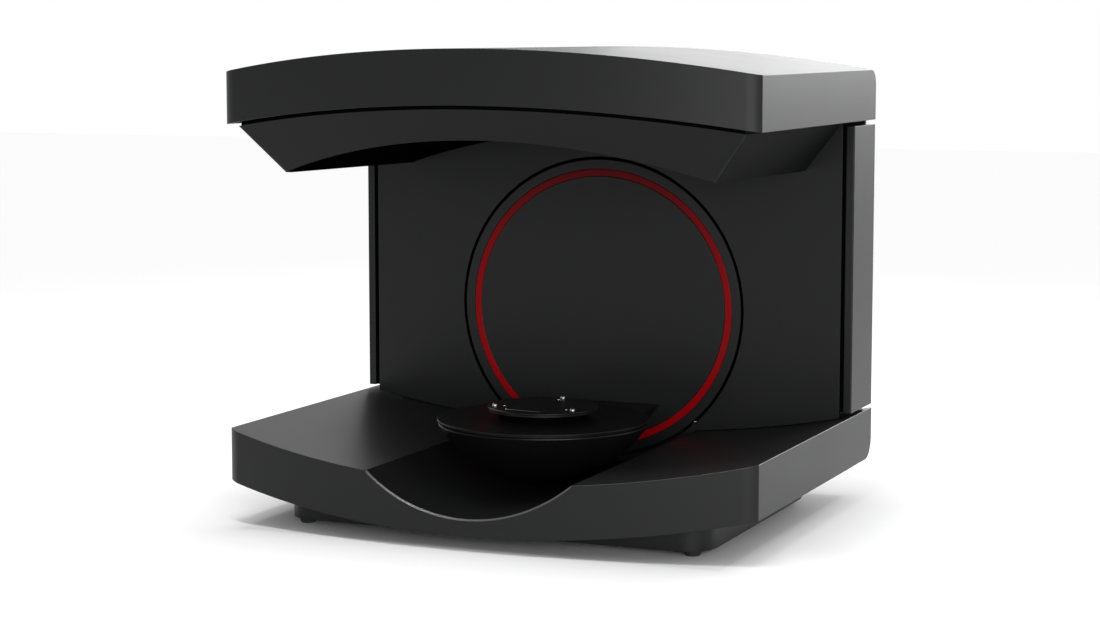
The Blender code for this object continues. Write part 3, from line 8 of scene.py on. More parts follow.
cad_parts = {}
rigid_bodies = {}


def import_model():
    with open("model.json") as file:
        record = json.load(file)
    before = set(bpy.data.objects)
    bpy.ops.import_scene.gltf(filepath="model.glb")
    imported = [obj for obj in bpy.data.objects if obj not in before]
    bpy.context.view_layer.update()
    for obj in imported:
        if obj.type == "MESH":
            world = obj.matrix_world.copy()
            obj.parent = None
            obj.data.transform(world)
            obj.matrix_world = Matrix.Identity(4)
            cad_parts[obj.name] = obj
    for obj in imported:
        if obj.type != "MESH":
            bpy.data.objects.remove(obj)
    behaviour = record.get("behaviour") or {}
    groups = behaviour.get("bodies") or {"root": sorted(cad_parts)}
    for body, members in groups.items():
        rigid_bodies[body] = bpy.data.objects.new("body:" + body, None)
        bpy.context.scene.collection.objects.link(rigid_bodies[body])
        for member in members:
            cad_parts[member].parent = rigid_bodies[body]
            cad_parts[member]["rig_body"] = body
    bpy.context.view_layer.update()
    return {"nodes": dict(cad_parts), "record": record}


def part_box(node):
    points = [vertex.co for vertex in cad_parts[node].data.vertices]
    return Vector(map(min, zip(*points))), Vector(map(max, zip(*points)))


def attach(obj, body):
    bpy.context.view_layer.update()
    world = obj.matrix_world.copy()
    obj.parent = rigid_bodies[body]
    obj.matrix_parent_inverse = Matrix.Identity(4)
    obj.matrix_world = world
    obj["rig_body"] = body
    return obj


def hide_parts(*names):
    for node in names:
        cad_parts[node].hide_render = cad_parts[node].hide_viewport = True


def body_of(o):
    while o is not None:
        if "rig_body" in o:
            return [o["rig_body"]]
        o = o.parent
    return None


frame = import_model()
slotOf = {row["node"]: row["material_slot"] for row in frame["record"]["subparts"]}
print("frame loaded")

# Lengths in metres, the same as the solids have
body = {
    "halfWidth": 0.211, "front": -0.162, "rear": 0.162, "bulge": 0.030, "corner": 0.020,
    "cornerWidth": 0.0105, "crease": 0.0006, "edge": 0.0014, "edgeSteps": 4, "skin": 0.003, "gap": 0.0003,
}
wallFront = 0.1027
swingHeight = 0.1503
turntableY = -0.016

# Distances within which places count as the same, and the drop that makes an edge upright
tiny = 1e-6
small = 1e-5
close = 1e-4
uprightDrop = 0.005


# Finishes

def newMaterial(name, colour, roughness, metallic=0.0, **inputs):
    material = bpy.data.materials.new(name)
    material.use_nodes = True
    shader = material.node_tree.nodes["Principled BSDF"]
    shader.inputs["Base Color"].default_value = (*colour, 1.0)
    shader.inputs["Roughness"].default_value = roughness
    shader.inputs["Metallic"].default_value = metallic
    for socket, value in inputs.items():
        shader.inputs[socket.replace("_", " ")].default_value = value
    return material


def addNoise(material, scale, detail):
    # Noise on Object coordinates
    nodes, links = material.node_tree.nodes, material.node_tree.links
    place = nodes.new("ShaderNodeTexCoord")
    noise = nodes.new("ShaderNodeTexNoise")
    noise.inputs["Scale"].default_value = scale
    noise.inputs["Detail"].default_value = detail
    links.new(place.outputs["Object"], noise.inputs["Vector"])
    return noise.outputs["Fac"]


def addGrain(material, scale, depth, detail=2.0):
    # Fine moulded texture as a bump
    nodes, links = material.node_tree.nodes, material.node_tree.links
    bump = nodes.new("ShaderNodeBump")
    bump.inputs["Strength"].default_value = 1.0
    bump.inputs["Distance"].default_value = depth
    links.new(addNoise(material, scale, detail), bump.inputs["Height"])
    links.new(bump.outputs["Normal"], nodes["Principled BSDF"].inputs["Normal"])
    return material


def addWear(material, scale, low, high, detail=3.0):
    # Slow change of roughness over the surface
    nodes, links = material.node_tree.nodes, material.node_tree.links
    spread = nodes.new("ShaderNodeMapRange")
    spread.inputs["To Min"].default_value = low
    spread.inputs["To Max"].default_value = high
    links.new(addNoise(material, scale, detail), spread.inputs["Value"])
    links.new(spread.outputs["Result"], nodes["Principled BSDF"].inputs["Roughness"])
    return material


# Here wear is the scale of the change, then the least and the most roughness

def wornMaterial(name, colour, roughness, wear, metallic=0.0, **inputs):
    return addWear(newMaterial(name, colour, roughness, metallic, **inputs), *wear)


mouldGrain = {"scale": 1700.0, "depth": 0.00002}


def mouldedPaint(name, colour, roughness, wear, specular):
    material = wornMaterial(name, colour, roughness, wear, Specular_IOR_Level=specular)
    return addGrain(material, mouldGrain["scale"], mouldGrain["depth"])


charcoal = (0.0138, 0.0142, 0.0149)
darkPaint = mouldedPaint("darkPaint", charcoal, 0.38, (9.0, 0.35, 0.41), 0.22)
sheetPaint = mouldedPaint("sheetPaint", charcoal, 0.40, (7.0, 0.37, 0.43), 0.22)
# Painted shade: the same paint with no reflection, for the underside of the visor's lip
shadedLipPaint = mouldedPaint("shadedLipPaint", charcoal, 0.60, (9.0, 0.55, 0.65), 0.0)
# Lit and shaded copies of the visor's paint: a lighter one for its front, painted light, and a darker one
# for its leaning sides, painted shade
litVisorPaint = mouldedPaint("litVisorPaint", (0.0250, 0.0253, 0.0257), 0.45, (9.0, 0.42, 0.50), 0.07)
shadedSidePaint = mouldedPaint("shadedSidePaint", (0.0085, 0.0087, 0.0090), 0.60, (9.0, 0.55, 0.65), 0.02)
# Painted shade: a darker, duller copy of the base's paint for the scoop's round under the bowl
scoopShadePaint = mouldedPaint("scoopShadePaint", (0.0075, 0.0077, 0.0080), 0.50, (9.0, 0.46, 0.54), 0.08)
# Painted highlight: a lighter, strongly reflecting paint for the base's bright edges
edgeHighlightPaint = mouldedPaint("edgeHighlightPaint", (0.060, 0.060, 0.061), 0.30, (9.0, 0.27, 0.33), 1.0)

deepBlack = (0.006, 0.006, 0.0063)
glossBlack = wornMaterial("glossBlack", deepBlack, 0.30, (12.0, 0.27, 0.33), Specular_IOR_Level=0.28)
lidBlack = wornMaterial("lidBlack", deepBlack, 0.38, (12.0, 0.35, 0.41), Specular_IOR_Level=0.16)
# Painted shade: the hub under the plate is darker than the other blacks and gives no reflection
shadedHubBlack = wornMaterial("shadedHubBlack", (0.002, 0.002, 0.002), 0.55, (12.0, 0.50, 0.60), Specular_IOR_Level=0.0)
# Painted shade: black with no reflection, put in the gaps, grooves, inner walls and recesses where shade
# falls, on the plate behind the disc and on the optics panel
paintedShadeBlack = wornMaterial(
    "paintedShadeBlack", (0.003, 0.003, 0.003), 0.55, (12.0, 0.50, 0.60), Specular_IOR_Level=0.0,
)
# The red plastic gives off a faint painted glow, though the ring is no lamp
glowingRedPlastic = wornMaterial(
    "glowingRedPlastic", (0.24, 0.0015, 0.004), 0.30, (30.0, 0.26, 0.34), Specular_IOR_Level=0.10,
    Emission_Color=(1.0, 0.006, 0.012, 1.0), Emission_Strength=0.03,
)
slotMetal = wornMaterial("slotMetal", (0.60, 0.60, 0.61), 0.35, (60.0, 0.30, 0.40), 1.0)
steel = wornMaterial("steel", (0.56, 0.56, 0.57), 0.28, (40.0, 0.22, 0.34), 1.0)
zincSheet = wornMaterial("zincSheet", (0.50, 0.51, 0.53), 0.42, (30.0, 0.36, 0.48), 1.0)
aluminium = wornMaterial("aluminium", (0.68, 0.68, 0.70), 0.34, (50.0, 0.28, 0.40), 1.0)
lensGlass = wornMaterial("lensGlass", (0.020, 0.024, 0.040), 0.04, (20.0, 0.03, 0.06), Coat_Weight=1.0)
rubber = addGrain(newMaterial("rubber", (0.018, 0.018, 0.018), 0.78), 900.0, 0.00003)
mattBlack = addGrain(newMaterial("mattBlack", (0.014, 0.014, 0.015), 0.58), 1500.0, 0.00002)
boardGreen = addGrain(newMaterial("boardGreen", (0.02, 0.15, 0.07), 0.48), 700.0, 0.00003)

# Painted shade on the red ring: its colour darkens between two heights
ringShade = {"dim": (0.050, 0.001, 0.0025), "from": 0.170, "to": 0.262}


def paintShadeUpwards(material, tint):
    # Painted shade: the colour darkens over the ring's upper part
    nodes, links = material.node_tree.nodes, material.node_tree.links
    shader = nodes["Principled BSDF"]
    place = nodes.new("ShaderNodeTexCoord")
    split = nodes.new("ShaderNodeSeparateXYZ")
    share = nodes.new("ShaderNodeMapRange")
    share.inputs["From Min"].default_value = tint["from"]
    share.inputs["From Max"].default_value = tint["to"]
    blend = nodes.new("ShaderNodeMix")
    blend.data_type = "RGBA"
    links.new(place.outputs["Object"], split.inputs["Vector"])
    links.new(split.outputs["Z"], share.inputs["Value"])
    links.new(share.outputs["Result"], blend.inputs["Factor"])
    colours = [socket for socket in blend.inputs if socket.type == "RGBA"]
    colours[0].default_value = shader.inputs["Base Color"].default_value
    colours[1].default_value = (*tint["dim"], 1.0)
    links.new([socket for socket in blend.outputs if socket.type == "RGBA"][0], shader.inputs["Base Color"])


paintShadeUpwards(glowingRedPlastic, ringShade)
finishes = {
    "cover_plastic": darkPaint, "painted_sheet": sheetPaint, "gloss_black": glossBlack,
    "matte_black": mattBlack, "red_plastic": glowingRedPlastic, "steel": steel, "zinc_sheet": zincSheet,
    "aluminium": aluminium, "rubber": rubber, "lens_glass": lensGlass, "circuit_board": boardGreen,
}
print("finishes made")


# Making and finishing pieces

def markSharp(shape, degrees):
    limit = math.radians(degrees)
    for edge in shape.edges:
        edge.smooth = len(edge.link_faces) == 2 and edge.calc_face_angle(0.0) < limit
    for face in shape.faces:
        face.smooth = True


def addPiece(name, shape, slot, carrier, nodes, sharp=30.0, finish=None):
    bmesh.ops.remove_doubles(shape, verts=shape.verts, dist=tiny)
    bmesh.ops.recalc_face_normals(shape, faces=shape.faces)
    if shape.calc_volume(signed=True) < 0:
        bmesh.ops.reverse_faces(shape, faces=shape.faces)
    markSharp(shape, sharp)
    mesh = bpy.data.meshes.new(name)
    shape.to_mesh(mesh)
    shape.free()
    mesh.materials.append(finish or finishes[slot])
    piece = bpy.data.objects.new(name, mesh)
    bpy.context.scene.collection.objects.link(piece)
    weighted = piece.modifiers.new("weightedNormal", "WEIGHTED_NORMAL")
    weighted.keep_sharp = True
    weighted.weight = 60
    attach(piece, carrier)
    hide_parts(*nodes)
    return piece


def paintFaces(piece, finish, test):
    # A second finish on the faces whose middle and normal pass the test
    piece.data.materials.append(finish)
    index = len(piece.data.materials) - 1
    for face in piece.data.polygons:
        if test(face.center, face.normal):
            face.material_index = index


def sharpEdges(shape, degrees, test=None):
    limit = math.radians(degrees)
    found = [e for e in shape.edges if len(e.link_faces) == 2 and e.calc_face_angle(0.0) > limit]
    return [e for e in found if test is None or test(*(v.co for v in e.verts))]


def bevelEdges(shape, edges, radius, segments):
    bmesh.ops.bevel(
        shape, geom=edges, offset=radius, offset_type="OFFSET", segments=segments, profile=0.5,
        affect="EDGES", clamp_overlap=True, material=-1,
    )


def spinProfile(shape, profile, axis, centre, steps, closed=False):
    # profile is a list of distances from the axis and heights along it
    start = Vector(centre)
    along = Vector(axis)
    across = Vector((1.0, 0.0, 0.0))
    points = [shape.verts.new(start + across * reach + along * height) for reach, height in profile]
    pairs = list(zip(points, points[1:])) + ([(points[-1], points[0])] if closed else [])
    line = [shape.edges.new(pair) for pair in pairs]
    bmesh.ops.spin(
        shape, geom=points + line, cent=centre, axis=axis, dvec=(0.0, 0.0, 0.0), angle=math.tau,
        steps=steps, use_merge=True, use_duplicate=False,
    )
    bmesh.ops.remove_doubles(shape, verts=shape.verts, dist=tiny)


def roundedProfile(corners, facets=4):
    # corners is a list of (reach, height, radius); a radius of 0 keeps the corner
    points = []
    for i, (reach, height, radius) in enumerate(corners):
        here = Vector((reach, height))
        if not radius:
            points.append(here)
            continue
        before = Vector(corners[i - 1][:2]) - here
        after = Vector(corners[(i + 1) % len(corners)][:2]) - here
        opening = before.angle(after)
        cut = radius / math.tan(opening / 2)
        middle = (before.normalized() + after.normalized()).normalized()
        centre = here + middle * radius / math.sin(opening / 2)
        start = here + before.normalized() * cut - centre
        end = here + after.normalized() * cut - centre
        turn = start.angle_signed(end)
        for k in range(facets + 1):
            points.append(centre + Matrix.Rotation(-turn * k / facets, 2) @ start)
    return [tuple(p) for p in points]


def looseObject(shape):
    mesh = bpy.data.meshes.new("loose")
    shape.to_mesh(mesh)
    shape.free()
    loose = bpy.data.objects.new("loose", mesh)
    bpy.context.scene.collection.objects.link(loose)
    return loose


def carve(shape, joined, cut):
    # Joins and cuts closed shapes in turn; the loose objects that this takes are removed again
    for each in [shape, *joined, *cut]:
        bmesh.ops.recalc_face_normals(each, faces=each.faces)
    whole = looseObject(shape)
    tools = [(looseObject(each), "UNION") for each in joined]
    tools += [(looseObject(each), "DIFFERENCE") for each in cut]
    for tool, operation in tools:
        step = whole.modifiers.new("step", "BOOLEAN")
        step.solver = "EXACT"
        step.operation = operation
        step.object = tool
    view = bpy.context.evaluated_depsgraph_get()
    carved = bpy.data.meshes.new_from_object(whole.evaluated_get(view))
    result = bmesh.new()
    result.from_mesh(carved)
    loose = [whole] + [tool for tool, operation in tools]
    used = [carved] + [each.data for each in loose]
    for each in loose:
        bpy.data.objects.remove(each)
    for mesh in used:
        bpy.data.meshes.remove(mesh)
    bmesh.ops.remove_doubles(result, verts=result.verts, dist=tiny)
    return result


def boxShape(low, high):
    shape = bmesh.new()
    bmesh.ops.create_cube(shape, size=1.0)
    for vert in shape.verts:
        vert.co = [low[i] if vert.co[i] < 0 else high[i] for i in range(3)]
    return shape


def pinShape(x, y, low, high, radius):
    shape = bmesh.new()
    bmesh.ops.create_cone(
        shape, cap_ends=True, segments=32, radius1=radius, radius2=radius, depth=high - low,
    )
    bmesh.ops.translate(shape, verts=shape.verts, vec=(x, y, (low + high) / 2))
    return shape


# The bowed front, and the heights that the bodies follow across their width

def bow(x, rise):
    half = body["halfWidth"]
    radius = (half**2 + rise**2) / (2 * rise)
    return math.sqrt(radius**2 - x**2) - (radius - rise)


frontRadius = (body["halfWidth"] ** 2 + body["bulge"] ** 2) / (2 * body["bulge"])
frontCentre = body["front"] + frontRadius


def frontY(x, half, setback, corner, width=None):
    radius = frontRadius - setback
    start = half - width if width is not None else (half - corner) * radius / (radius - corner)
    if abs(x) <= start:
        return frontCentre - math.sqrt(radius**2 - x**2)
    share = start / radius
    middleX = start - corner * share
    middleY = frontCentre - (radius - corner) * math.sqrt(1 - share**2)
    return middleY - math.sqrt(max(corner**2 - (abs(x) - middleX) ** 2, 0.0))


# Columns along the bowed front, the share of them before and in the corners, and that round the scoop
grid = {"columns": 120, "beforeCorner": 0.8, "inCorner": 0.2, "roundScoop": 0.625}


def frontPoint(u, half, setback, corner, width=None):
    # u runs from -1 to 1 along the front
    radius = frontRadius - setback
    start = half - width if width is not None else (half - corner) * radius / (radius - corner)
    share = start / radius
    middleX = start - corner * share
    first, last = math.asin(share), math.asin(min((half - middleX) / corner, 1.0))
    side, reach = math.copysign(1.0, u), abs(u)
    if reach <= grid["beforeCorner"]:
        x = frontColumn(reach / grid["beforeCorner"], start)
    else:
        past = reach - grid["beforeCorner"]
        x = middleX + corner * math.sin(first + (last - first) * past / grid["inCorner"])
    return side * x, frontY(x, half, setback, corner, width)


scoop = {"radius": 0.1265, "end": 0.1157, "top": 0.0724, "dip": 0.0224}


def dishTop(x):
    return scoop["top"] - bow(x, scoop["dip"])


def scoopHeight(x):
    return swingHeight - math.sqrt(max(scoop["radius"] ** 2 - x**2, 0.0))


def scoopReach():
    # Half the scoop's width where it meets the dished top, by halving
    low, high = scoop["radius"] / 2, scoop["radius"]
    for turn in range(50):
        middle = (low + high) / 2
        low, high = (middle, high) if scoopHeight(middle) < dishTop(middle) else (low, middle)
    return low


reachX = scoopReach()


def frontColumn(share, start):
    # Columns are evenly turned round the scoop out to its edge, then evenly spaced
    most = grid["roundScoop"]
    if share <= most:
        return scoop["radius"] * math.sin(math.asin(reachX / scoop["radius"]) * share / most)
    return reachX + (start - reachX) * (share - most) / (1 - most)


def bodyGrid(shape, rows, skin=0.0):
    # A grid with its columns along the bowed front and its rows at the given places in depth
    bmesh.ops.create_grid(shape, x_segments=grid["columns"], y_segments=len(rows), size=1.0)
    for vert in shape.verts:
        row = round((vert.co.y + 1) / 2 * len(rows))
        half, corner, width = body["halfWidth"] - skin, body["corner"] - skin, body["cornerWidth"] - skin
        x, front = frontPoint(vert.co.x, half, skin, corner, width)
        vert.co = (x, front if row == 0 else rows[row - 1], 0.0)


def raiseTop(shape, bottom, top):
    # A flat grid becomes a body between a lower and an upper surface
    lower = list(shape.verts)
    made = bmesh.ops.extrude_face_region(shape, geom=list(shape.faces))
    upper = [item for item in made["geom"] if isinstance(item, bmesh.types.BMVert)]
    for vert in upper:
        vert.co.z = top(vert.co.x, vert.co.y)
    for vert in lower:
        vert.co.z = bottom(vert.co.x)


# Hood cover

hood = {
    "top": 0.3426, "topRise": 0.0179, "bottom": 0.3031, "bottomRise": 0.0172, "rearRound": 0.012,
    "roundSteps": 10, "bossRadius": 0.005, "bossX": 0.175, "bossY": 0.095,
}


def hoodTop(x):
    return hood["top"] + bow(x, hood["topRise"])


def hoodBottom(x):
    return hood["bottom"] + bow(x, hood["bottomRise"])


def isAcross(a, b, back):
    # An edge across the body at its back
    return min(a.y, b.y) > back - close and abs(a.x - b.x) > small


def isUpright(a, b):
    return abs(a.z - b.z) > uprightDrop and max(a.y, b.y) < 0.0


def roundRearTop(shape, back, radius, low):
    bmesh.ops.recalc_face_normals(shape, faces=shape.faces)
    rearTop = sharpEdges(shape, 60, lambda a, b: isAcross(a, b, back) and min(a.z, b.z) > low)
    bevelEdges(shape, rearTop, radius, hood["roundSteps"])


def makeHood():
    shape = bmesh.new()
    bodyGrid(shape, [body["rear"]])
    raiseTop(shape, hoodBottom, lambda x, y: hoodTop(x))
    roundRearTop(shape, body["rear"], hood["rearRound"], hood["top"] - close)

    # A small round on the front corners' creases, then the common one on all other edges
    bevelEdges(shape, sharpEdges(shape, 20, isUpright), body["crease"], 2)
    bevelEdges(shape, sharpEdges(shape, 50), body["edge"], body["edgeSteps"])

    # The roof and walls are one skin thick, with four bosses down to the plate
    skin = body["skin"]
    hollow = bmesh.new()
    bodyGrid(hollow, [body["rear"] - skin], skin)
    raiseTop(hollow, lambda x: hoodBottom(x) - skin, lambda x, y: hoodTop(x) - skin)
    roundRearTop(hollow, body["rear"] - skin, hood["rearRound"] - skin, hood["top"] - skin - close)
    shape = carve(shape, [], [hollow])
    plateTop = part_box("hood_plate")[1].z + body["gap"]
    bossTop = hoodTop(hood["bossX"]) - skin / 2
    bosses = [
        pinShape(side * hood["bossX"], end * hood["bossY"], plateTop, bossTop, hood["bossRadius"])
        for side in (-1, 1) for end in (-1, 1)
    ]
    shape = carve(shape, bosses, [])
    addPiece("hoodCover", shape, "cover_plastic", "body", ["hood_cover"])


# Base cover: the scoop is a step in its top, with a painted highlight on the chamfer along the front and on
# the top's edge round, and painted shade on the scoop

base = {
    "bottom": 0.0323, "bottomDip": 0.0215, "rearRound": 0.016, "roundSteps": 10, "chamfer": 0.0012,
    "scoopStep": 1e-4, "scoopEdge": 0.002, "pastEnd": 0.001, "aboveBottom": 0.003, "onScoop": 0.0004,
    "topRound": 0.0016,
    "panReach": 0.0005, "panCorner": 0.021, "panCornerRoom": 1.1, "panColumns": 16, "panSkins": 1.4,
    "postReach": 0.002, "postDepth": 0.015, "padInset": 0.005,
}


def baseBottom(x):
    return base["bottom"] - bow(x, base["bottomDip"])


def roundRearLow(shape, back, radius, high):
    bmesh.ops.recalc_face_normals(shape, faces=shape.faces)
    rearLow = sharpEdges(shape, 60, lambda a, b: isAcross(a, b, back) and a.z < high)
    bevelEdges(shape, rearLow, radius, base["roundSteps"])


def baseBody():
    # A row just behind the scoop's end makes the step, and is then moved onto it
    shape = bmesh.new()
    bodyGrid(shape, [scoop["end"], scoop["end"] + base["scoopStep"], body["rear"]])

    def top(x, y):
        inside = y < scoop["end"] + base["scoopStep"] / 2 and abs(x) < reachX - tiny
        return scoopHeight(x) if inside else dishTop(x)

    raiseTop(shape, baseBottom, top)
    for vert in shape.verts:
        if abs(vert.co.y - scoop["end"] - base["scoopStep"]) < tiny:
            vert.co.y = scoop["end"]
    bmesh.ops.remove_doubles(shape, verts=shape.verts, dist=2 * tiny)
    return shape


def isScoopLip(a, b):
    inFront = max(a.y, b.y) < 0 and max(abs(a.x), abs(b.x)) < reachX + small
    return inFront and abs(a.x - b.x) > small and a.z > scoopHeight(a.x) - small


def isScoopEdge(a, b):
    nearScoop = max(abs(a.x), abs(b.x)) < reachX + base["scoopEdge"]
    beforeEnd = max(a.y, b.y) < scoop["end"] + base["pastEnd"]
    return nearScoop and beforeEnd and min(a.z, b.z) > baseBottom(a.x) + base["aboveBottom"]


def fromScoop(at):
    return abs(math.hypot(at.x, at.z - swingHeight) - scoop["radius"])


def inScoop(at, normal):
    onRound = fromScoop(at) < base["onScoop"]
    return onRound and at.y < scoop["end"] and at.z < dishTop(at.x) + close


def onPaintedHighlight(at, normal):
    # Painted highlight: the middle of the round along the top's edge, and the chamfer of the scoop's lip
    off = fromScoop(at)
    onRound = 0.5 < normal.z < 0.87 and at.z > dishTop(at.x) - base["topRound"] and off > base["onScoop"]
    onLip = off < base["chamfer"] and at.y < 0 and -0.95 < normal.y < -0.2 and abs(at.x) < reachX - close
    return onRound or onLip


def makeBase():
    shape = baseBody()
    roundRearLow(shape, body["rear"], base["rearRound"], base["bottom"] + close)
    bevelEdges(shape, sharpEdges(shape, 40, isScoopLip), base["chamfer"], 1)
    creases = sharpEdges(shape, 20, lambda a, b: isUpright(a, b) and abs(a.x - b.x) < small)
    bevelEdges(shape, creases, body["crease"], 2)
    outer = sharpEdges(shape, 50, lambda a, b: not isScoopEdge(a, b))
    bevelEdges(shape, outer, body["edge"], body["edgeSteps"])
    posts = [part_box("post_left"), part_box("post_right")]
    shape = carve(shape, [], [baseHollow(), panOpening()] + [postHole(*post) for post in posts])
    shape = carve(shape, [postPad(*post) for post in posts], [])
    piece = addPiece("baseCover", shape, "cover_plastic", "body", ["base_cover"])
    # Painted shade on the scoop's round
    paintFaces(piece, scoopShadePaint, inScoop)
    # Painted highlight on the edge rounds and the lip's chamfer
    paintFaces(piece, edgeHighlightPaint, onPaintedHighlight)


def baseHollow():
    # One skin inside the base, also round the scoop
    skin = body["skin"]
    end = scoop["end"] + skin
    wide = scoop["radius"] + skin
    shape = bmesh.new()
    bodyGrid(shape, [end, end + base["scoopStep"], body["rear"] - skin], skin)

    def top(x, y):
        under = dishTop(x) - skin
        if y < end + base["scoopStep"] / 2 and abs(x) < wide:
            under = min(under, swingHeight - math.sqrt(wide**2 - x**2))
        return under

    raiseTop(shape, lambda x: baseBottom(x) + skin, top)
    roundRearLow(shape, body["rear"] - skin, base["rearRound"] - skin, base["bottom"] + skin + close)
    return shape


def panOpening():
    low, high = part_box("base_pan")
    reach = base["panReach"]
    corner = base["panCorner"]
    half = high.x + reach
    innerShare = 1 - 2 / base["panColumns"]
    shape = bmesh.new()
    bmesh.ops.create_grid(shape, x_segments=base["panColumns"], y_segments=1, size=1.0)
    for vert in shape.verts:
        inner = abs(vert.co.x) < (1 + innerShare) / 2
        flat = half - corner * base["panCornerRoom"]
        x = vert.co.x / innerShare * flat if inner else math.copysign(half, vert.co.x)
        vert.co = (x, low.y - reach if vert.co.y < 0 else high.y + reach, 0.0)
    raiseTop(shape, lambda x: 0.0, lambda x, y: baseBottom(x) + body["skin"] * base["panSkins"])
    bmesh.ops.recalc_face_normals(shape, faces=shape.faces)
    upright = sharpEdges(shape, 60, lambda a, b: abs(a.z - b.z) > uprightDrop)
    bevelEdges(shape, upright, corner, 8)
    return shape


def postHole(low, high):
    reach = base["postReach"]
    outer = max(abs(low.x), abs(high.x))
    under = dishTop(outer) - base["postDepth"]
    above = scoop["top"] + body["skin"]
    return boxShape((low.x - reach, low.y - reach, under), (high.x + reach, high.y + reach, above))


def postPad(low, high):
    # A block on the base's floor that the post stands on
    shape = bmesh.new()
    bmesh.ops.create_grid(shape, x_segments=3, y_segments=1, size=1.0)
    for vert in shape.verts:
        x = low.x + (high.x - low.x) * (vert.co.x + 1) / 2
        vert.co = (x, low.y + base["padInset"] if vert.co.y < 0 else high.y - base["padInset"], 0.0)
    raiseTop(shape, lambda x: baseBottom(x) + body["skin"] / 2, lambda x, y: low.z - body["gap"])
    return shape


makeHood()
makeBase()
print("shells made")


# Visor: one closed wall carried round the sides and the bowed front, its lower edge an arch with a lip

visor = {
    "topSetback": 0.0052, "sideSetback": 0.0103, "gap": 0.0028, "lowSetback": 0.0215,
    "cornerSetback": 0.0298, "halfBottom": 0.1713, "cornerTop": 0.003, "cornerBottom": 0.005,
    "archTop": 0.2948, "archRise": 0.0280, "sideDrop": 0.0025, "lip": 0.0038, "rimInset": 0.002,
    "rimThickness": 0.003, "rimTop": 0.3214, "round": 0.0007, "roundSteps": 3, "leastLean": 0.1,
    "rimKept": 0.002, "middleY": 0.1,
}


def visorArch(x):
    radius = (visor["halfBottom"] ** 2 + visor["archRise"] ** 2) / (2 * visor["archRise"])
    return visor["archTop"] - radius + math.sqrt(radius**2 - x**2)


def visorSetback(x):
    more = visor["cornerSetback"] - visor["lowSetback"]
    return visor["lowSetback"] + more * (x / visor["halfBottom"]) ** 2


def visorSection(u):
    # Seven points round the wall at one place along it; beyond -1 and 1 lie its rear ends
    halfTop = body["halfWidth"] - visor["sideSetback"]
    lowHalf = visor["halfBottom"]
    if abs(u) > 1 + close:
        side = math.copysign(1.0, u)
        rearY = wallFront - body["gap"]
        topPoint, lowPoint, inward = (side * halfTop, rearY), (side * lowHalf, rearY), (-side, 0.0)
        lowZ, topZ = visorArch(lowHalf) - visor["sideDrop"], hoodBottom(halfTop) - visor["gap"]
    else:
        topPoint = frontPoint(u, halfTop, visor["topSetback"], visor["cornerTop"])
        here = frontPoint(u, lowHalf, visor["cornerSetback"], visor["cornerBottom"])
        lowX = here[0]
        lowPoint = (lowX, frontY(lowX, lowHalf, visorSetback(lowX), visor["cornerBottom"]))
        step = 1e-3 if u < 0 else -1e-3
        beside = frontPoint(u + step, lowHalf, visor["cornerSetback"], visor["cornerBottom"])
        run = Vector((beside[0] - here[0], beside[1] - here[1])).normalized() * math.copysign(1.0, step)
        inward = (-run.y, run.x)
        lowZ, topZ = visorArch(lowX), hoodBottom(topPoint[0]) - visor["gap"]
    (tx, ty), (lx, ly), (nx, ny) = topPoint, lowPoint, inward
    near = visor["rimInset"]
    far = near + visor["rimThickness"]
    lean = math.hypot(lx - tx, ly - ty) / (topZ - lowZ)
    below = (far - visor["lip"]) / max(lean, visor["leastLean"])
    return [
        (tx + nx * near, ty + ny * near, visor["rimTop"]),
        (tx + nx * near, ty + ny * near, topZ),
        (tx, ty, topZ),
        (lx, ly, lowZ),
        (lx + nx * visor["lip"], ly + ny * visor["lip"], lowZ),
        (tx + nx * far, ty + ny * far, topZ - below),
        (tx + nx * far, ty + ny * far, visor["rimTop"]),
    ]


def isVisorEdge(a, b):
    return max(a.z, b.z) < visor["rimTop"] - visor["rimKept"] and abs(a.y - b.y) + abs(a.x - b.x) > small


def inVisor(at, normal):
    # Painted shade: the wall's inner side, and the rim in the gap under the hood
    onRim = at.z > hoodBottom(at.x) - visor["gap"] - close
    aside = normal.z > -0.2 and abs(normal.x) + abs(normal.y) > 0.1
    return onRim or (aside and normal.x * at.x + normal.y * (at.y - visor["middleY"]) < -0.02)


def onLeaningSide(at, normal):
    return normal.x * at.x > 0 and abs(normal.x) > 0.6 and abs(normal.y) < 0.3


def makeVisor():
    shape = bmesh.new()
    across = grid["columns"] + 2
    around = 7
    bmesh.ops.create_grid(shape, x_segments=across, y_segments=around, size=1.0)
    for vert in shape.verts:
        column = round((vert.co.x + 1) / 2 * across) - across // 2
        row = round((vert.co.y + 1) / 2 * around) % around
        vert.co = visorSection(column / (grid["columns"] / 2))[row]
    bmesh.ops.remove_doubles(shape, verts=shape.verts, dist=1e-7)
    bmesh.ops.holes_fill(shape, edges=[e for e in shape.edges if e.is_boundary], sides=0)
    bmesh.ops.recalc_face_normals(shape, faces=shape.faces)
    bevelEdges(shape, sharpEdges(shape, 35, isVisorEdge), visor["round"], visor["roundSteps"])
    piece = addPiece("visorShell", shape, "cover_plastic", "body", ["visor_shell"], finish=litVisorPaint)
    paintFaces(piece, paintedShadeBlack, inVisor)
    # Painted shade on the lip's underside
    paintFaces(piece, shadedLipPaint, lambda at, normal: normal.z < -0.8)
    # Painted shade on the visor's leaning sides
    paintFaces(piece, shadedSidePaint, onLeaningSide)


makeVisor()


# Swing disc with its red ring

disc = {
    "radius": 0.1198, "thickness": 0.007, "ringInner": 0.1063, "ringOuter": 0.1119, "ringDepth": 0.003,
    "edge": 0.0005, "holeBand": 0.003, "steps": 160,
}


def spinOnSwing(name, corners, slot, nodes, closed=False):
    shape = bmesh.new()
    centre = (0.0, 0.0, swingHeight)
    spinProfile(shape, roundedProfile(corners), (0.0, 1.0, 0.0), centre, disc["steps"], closed)
    return addPiece(name, shape, slot, "swing", nodes)


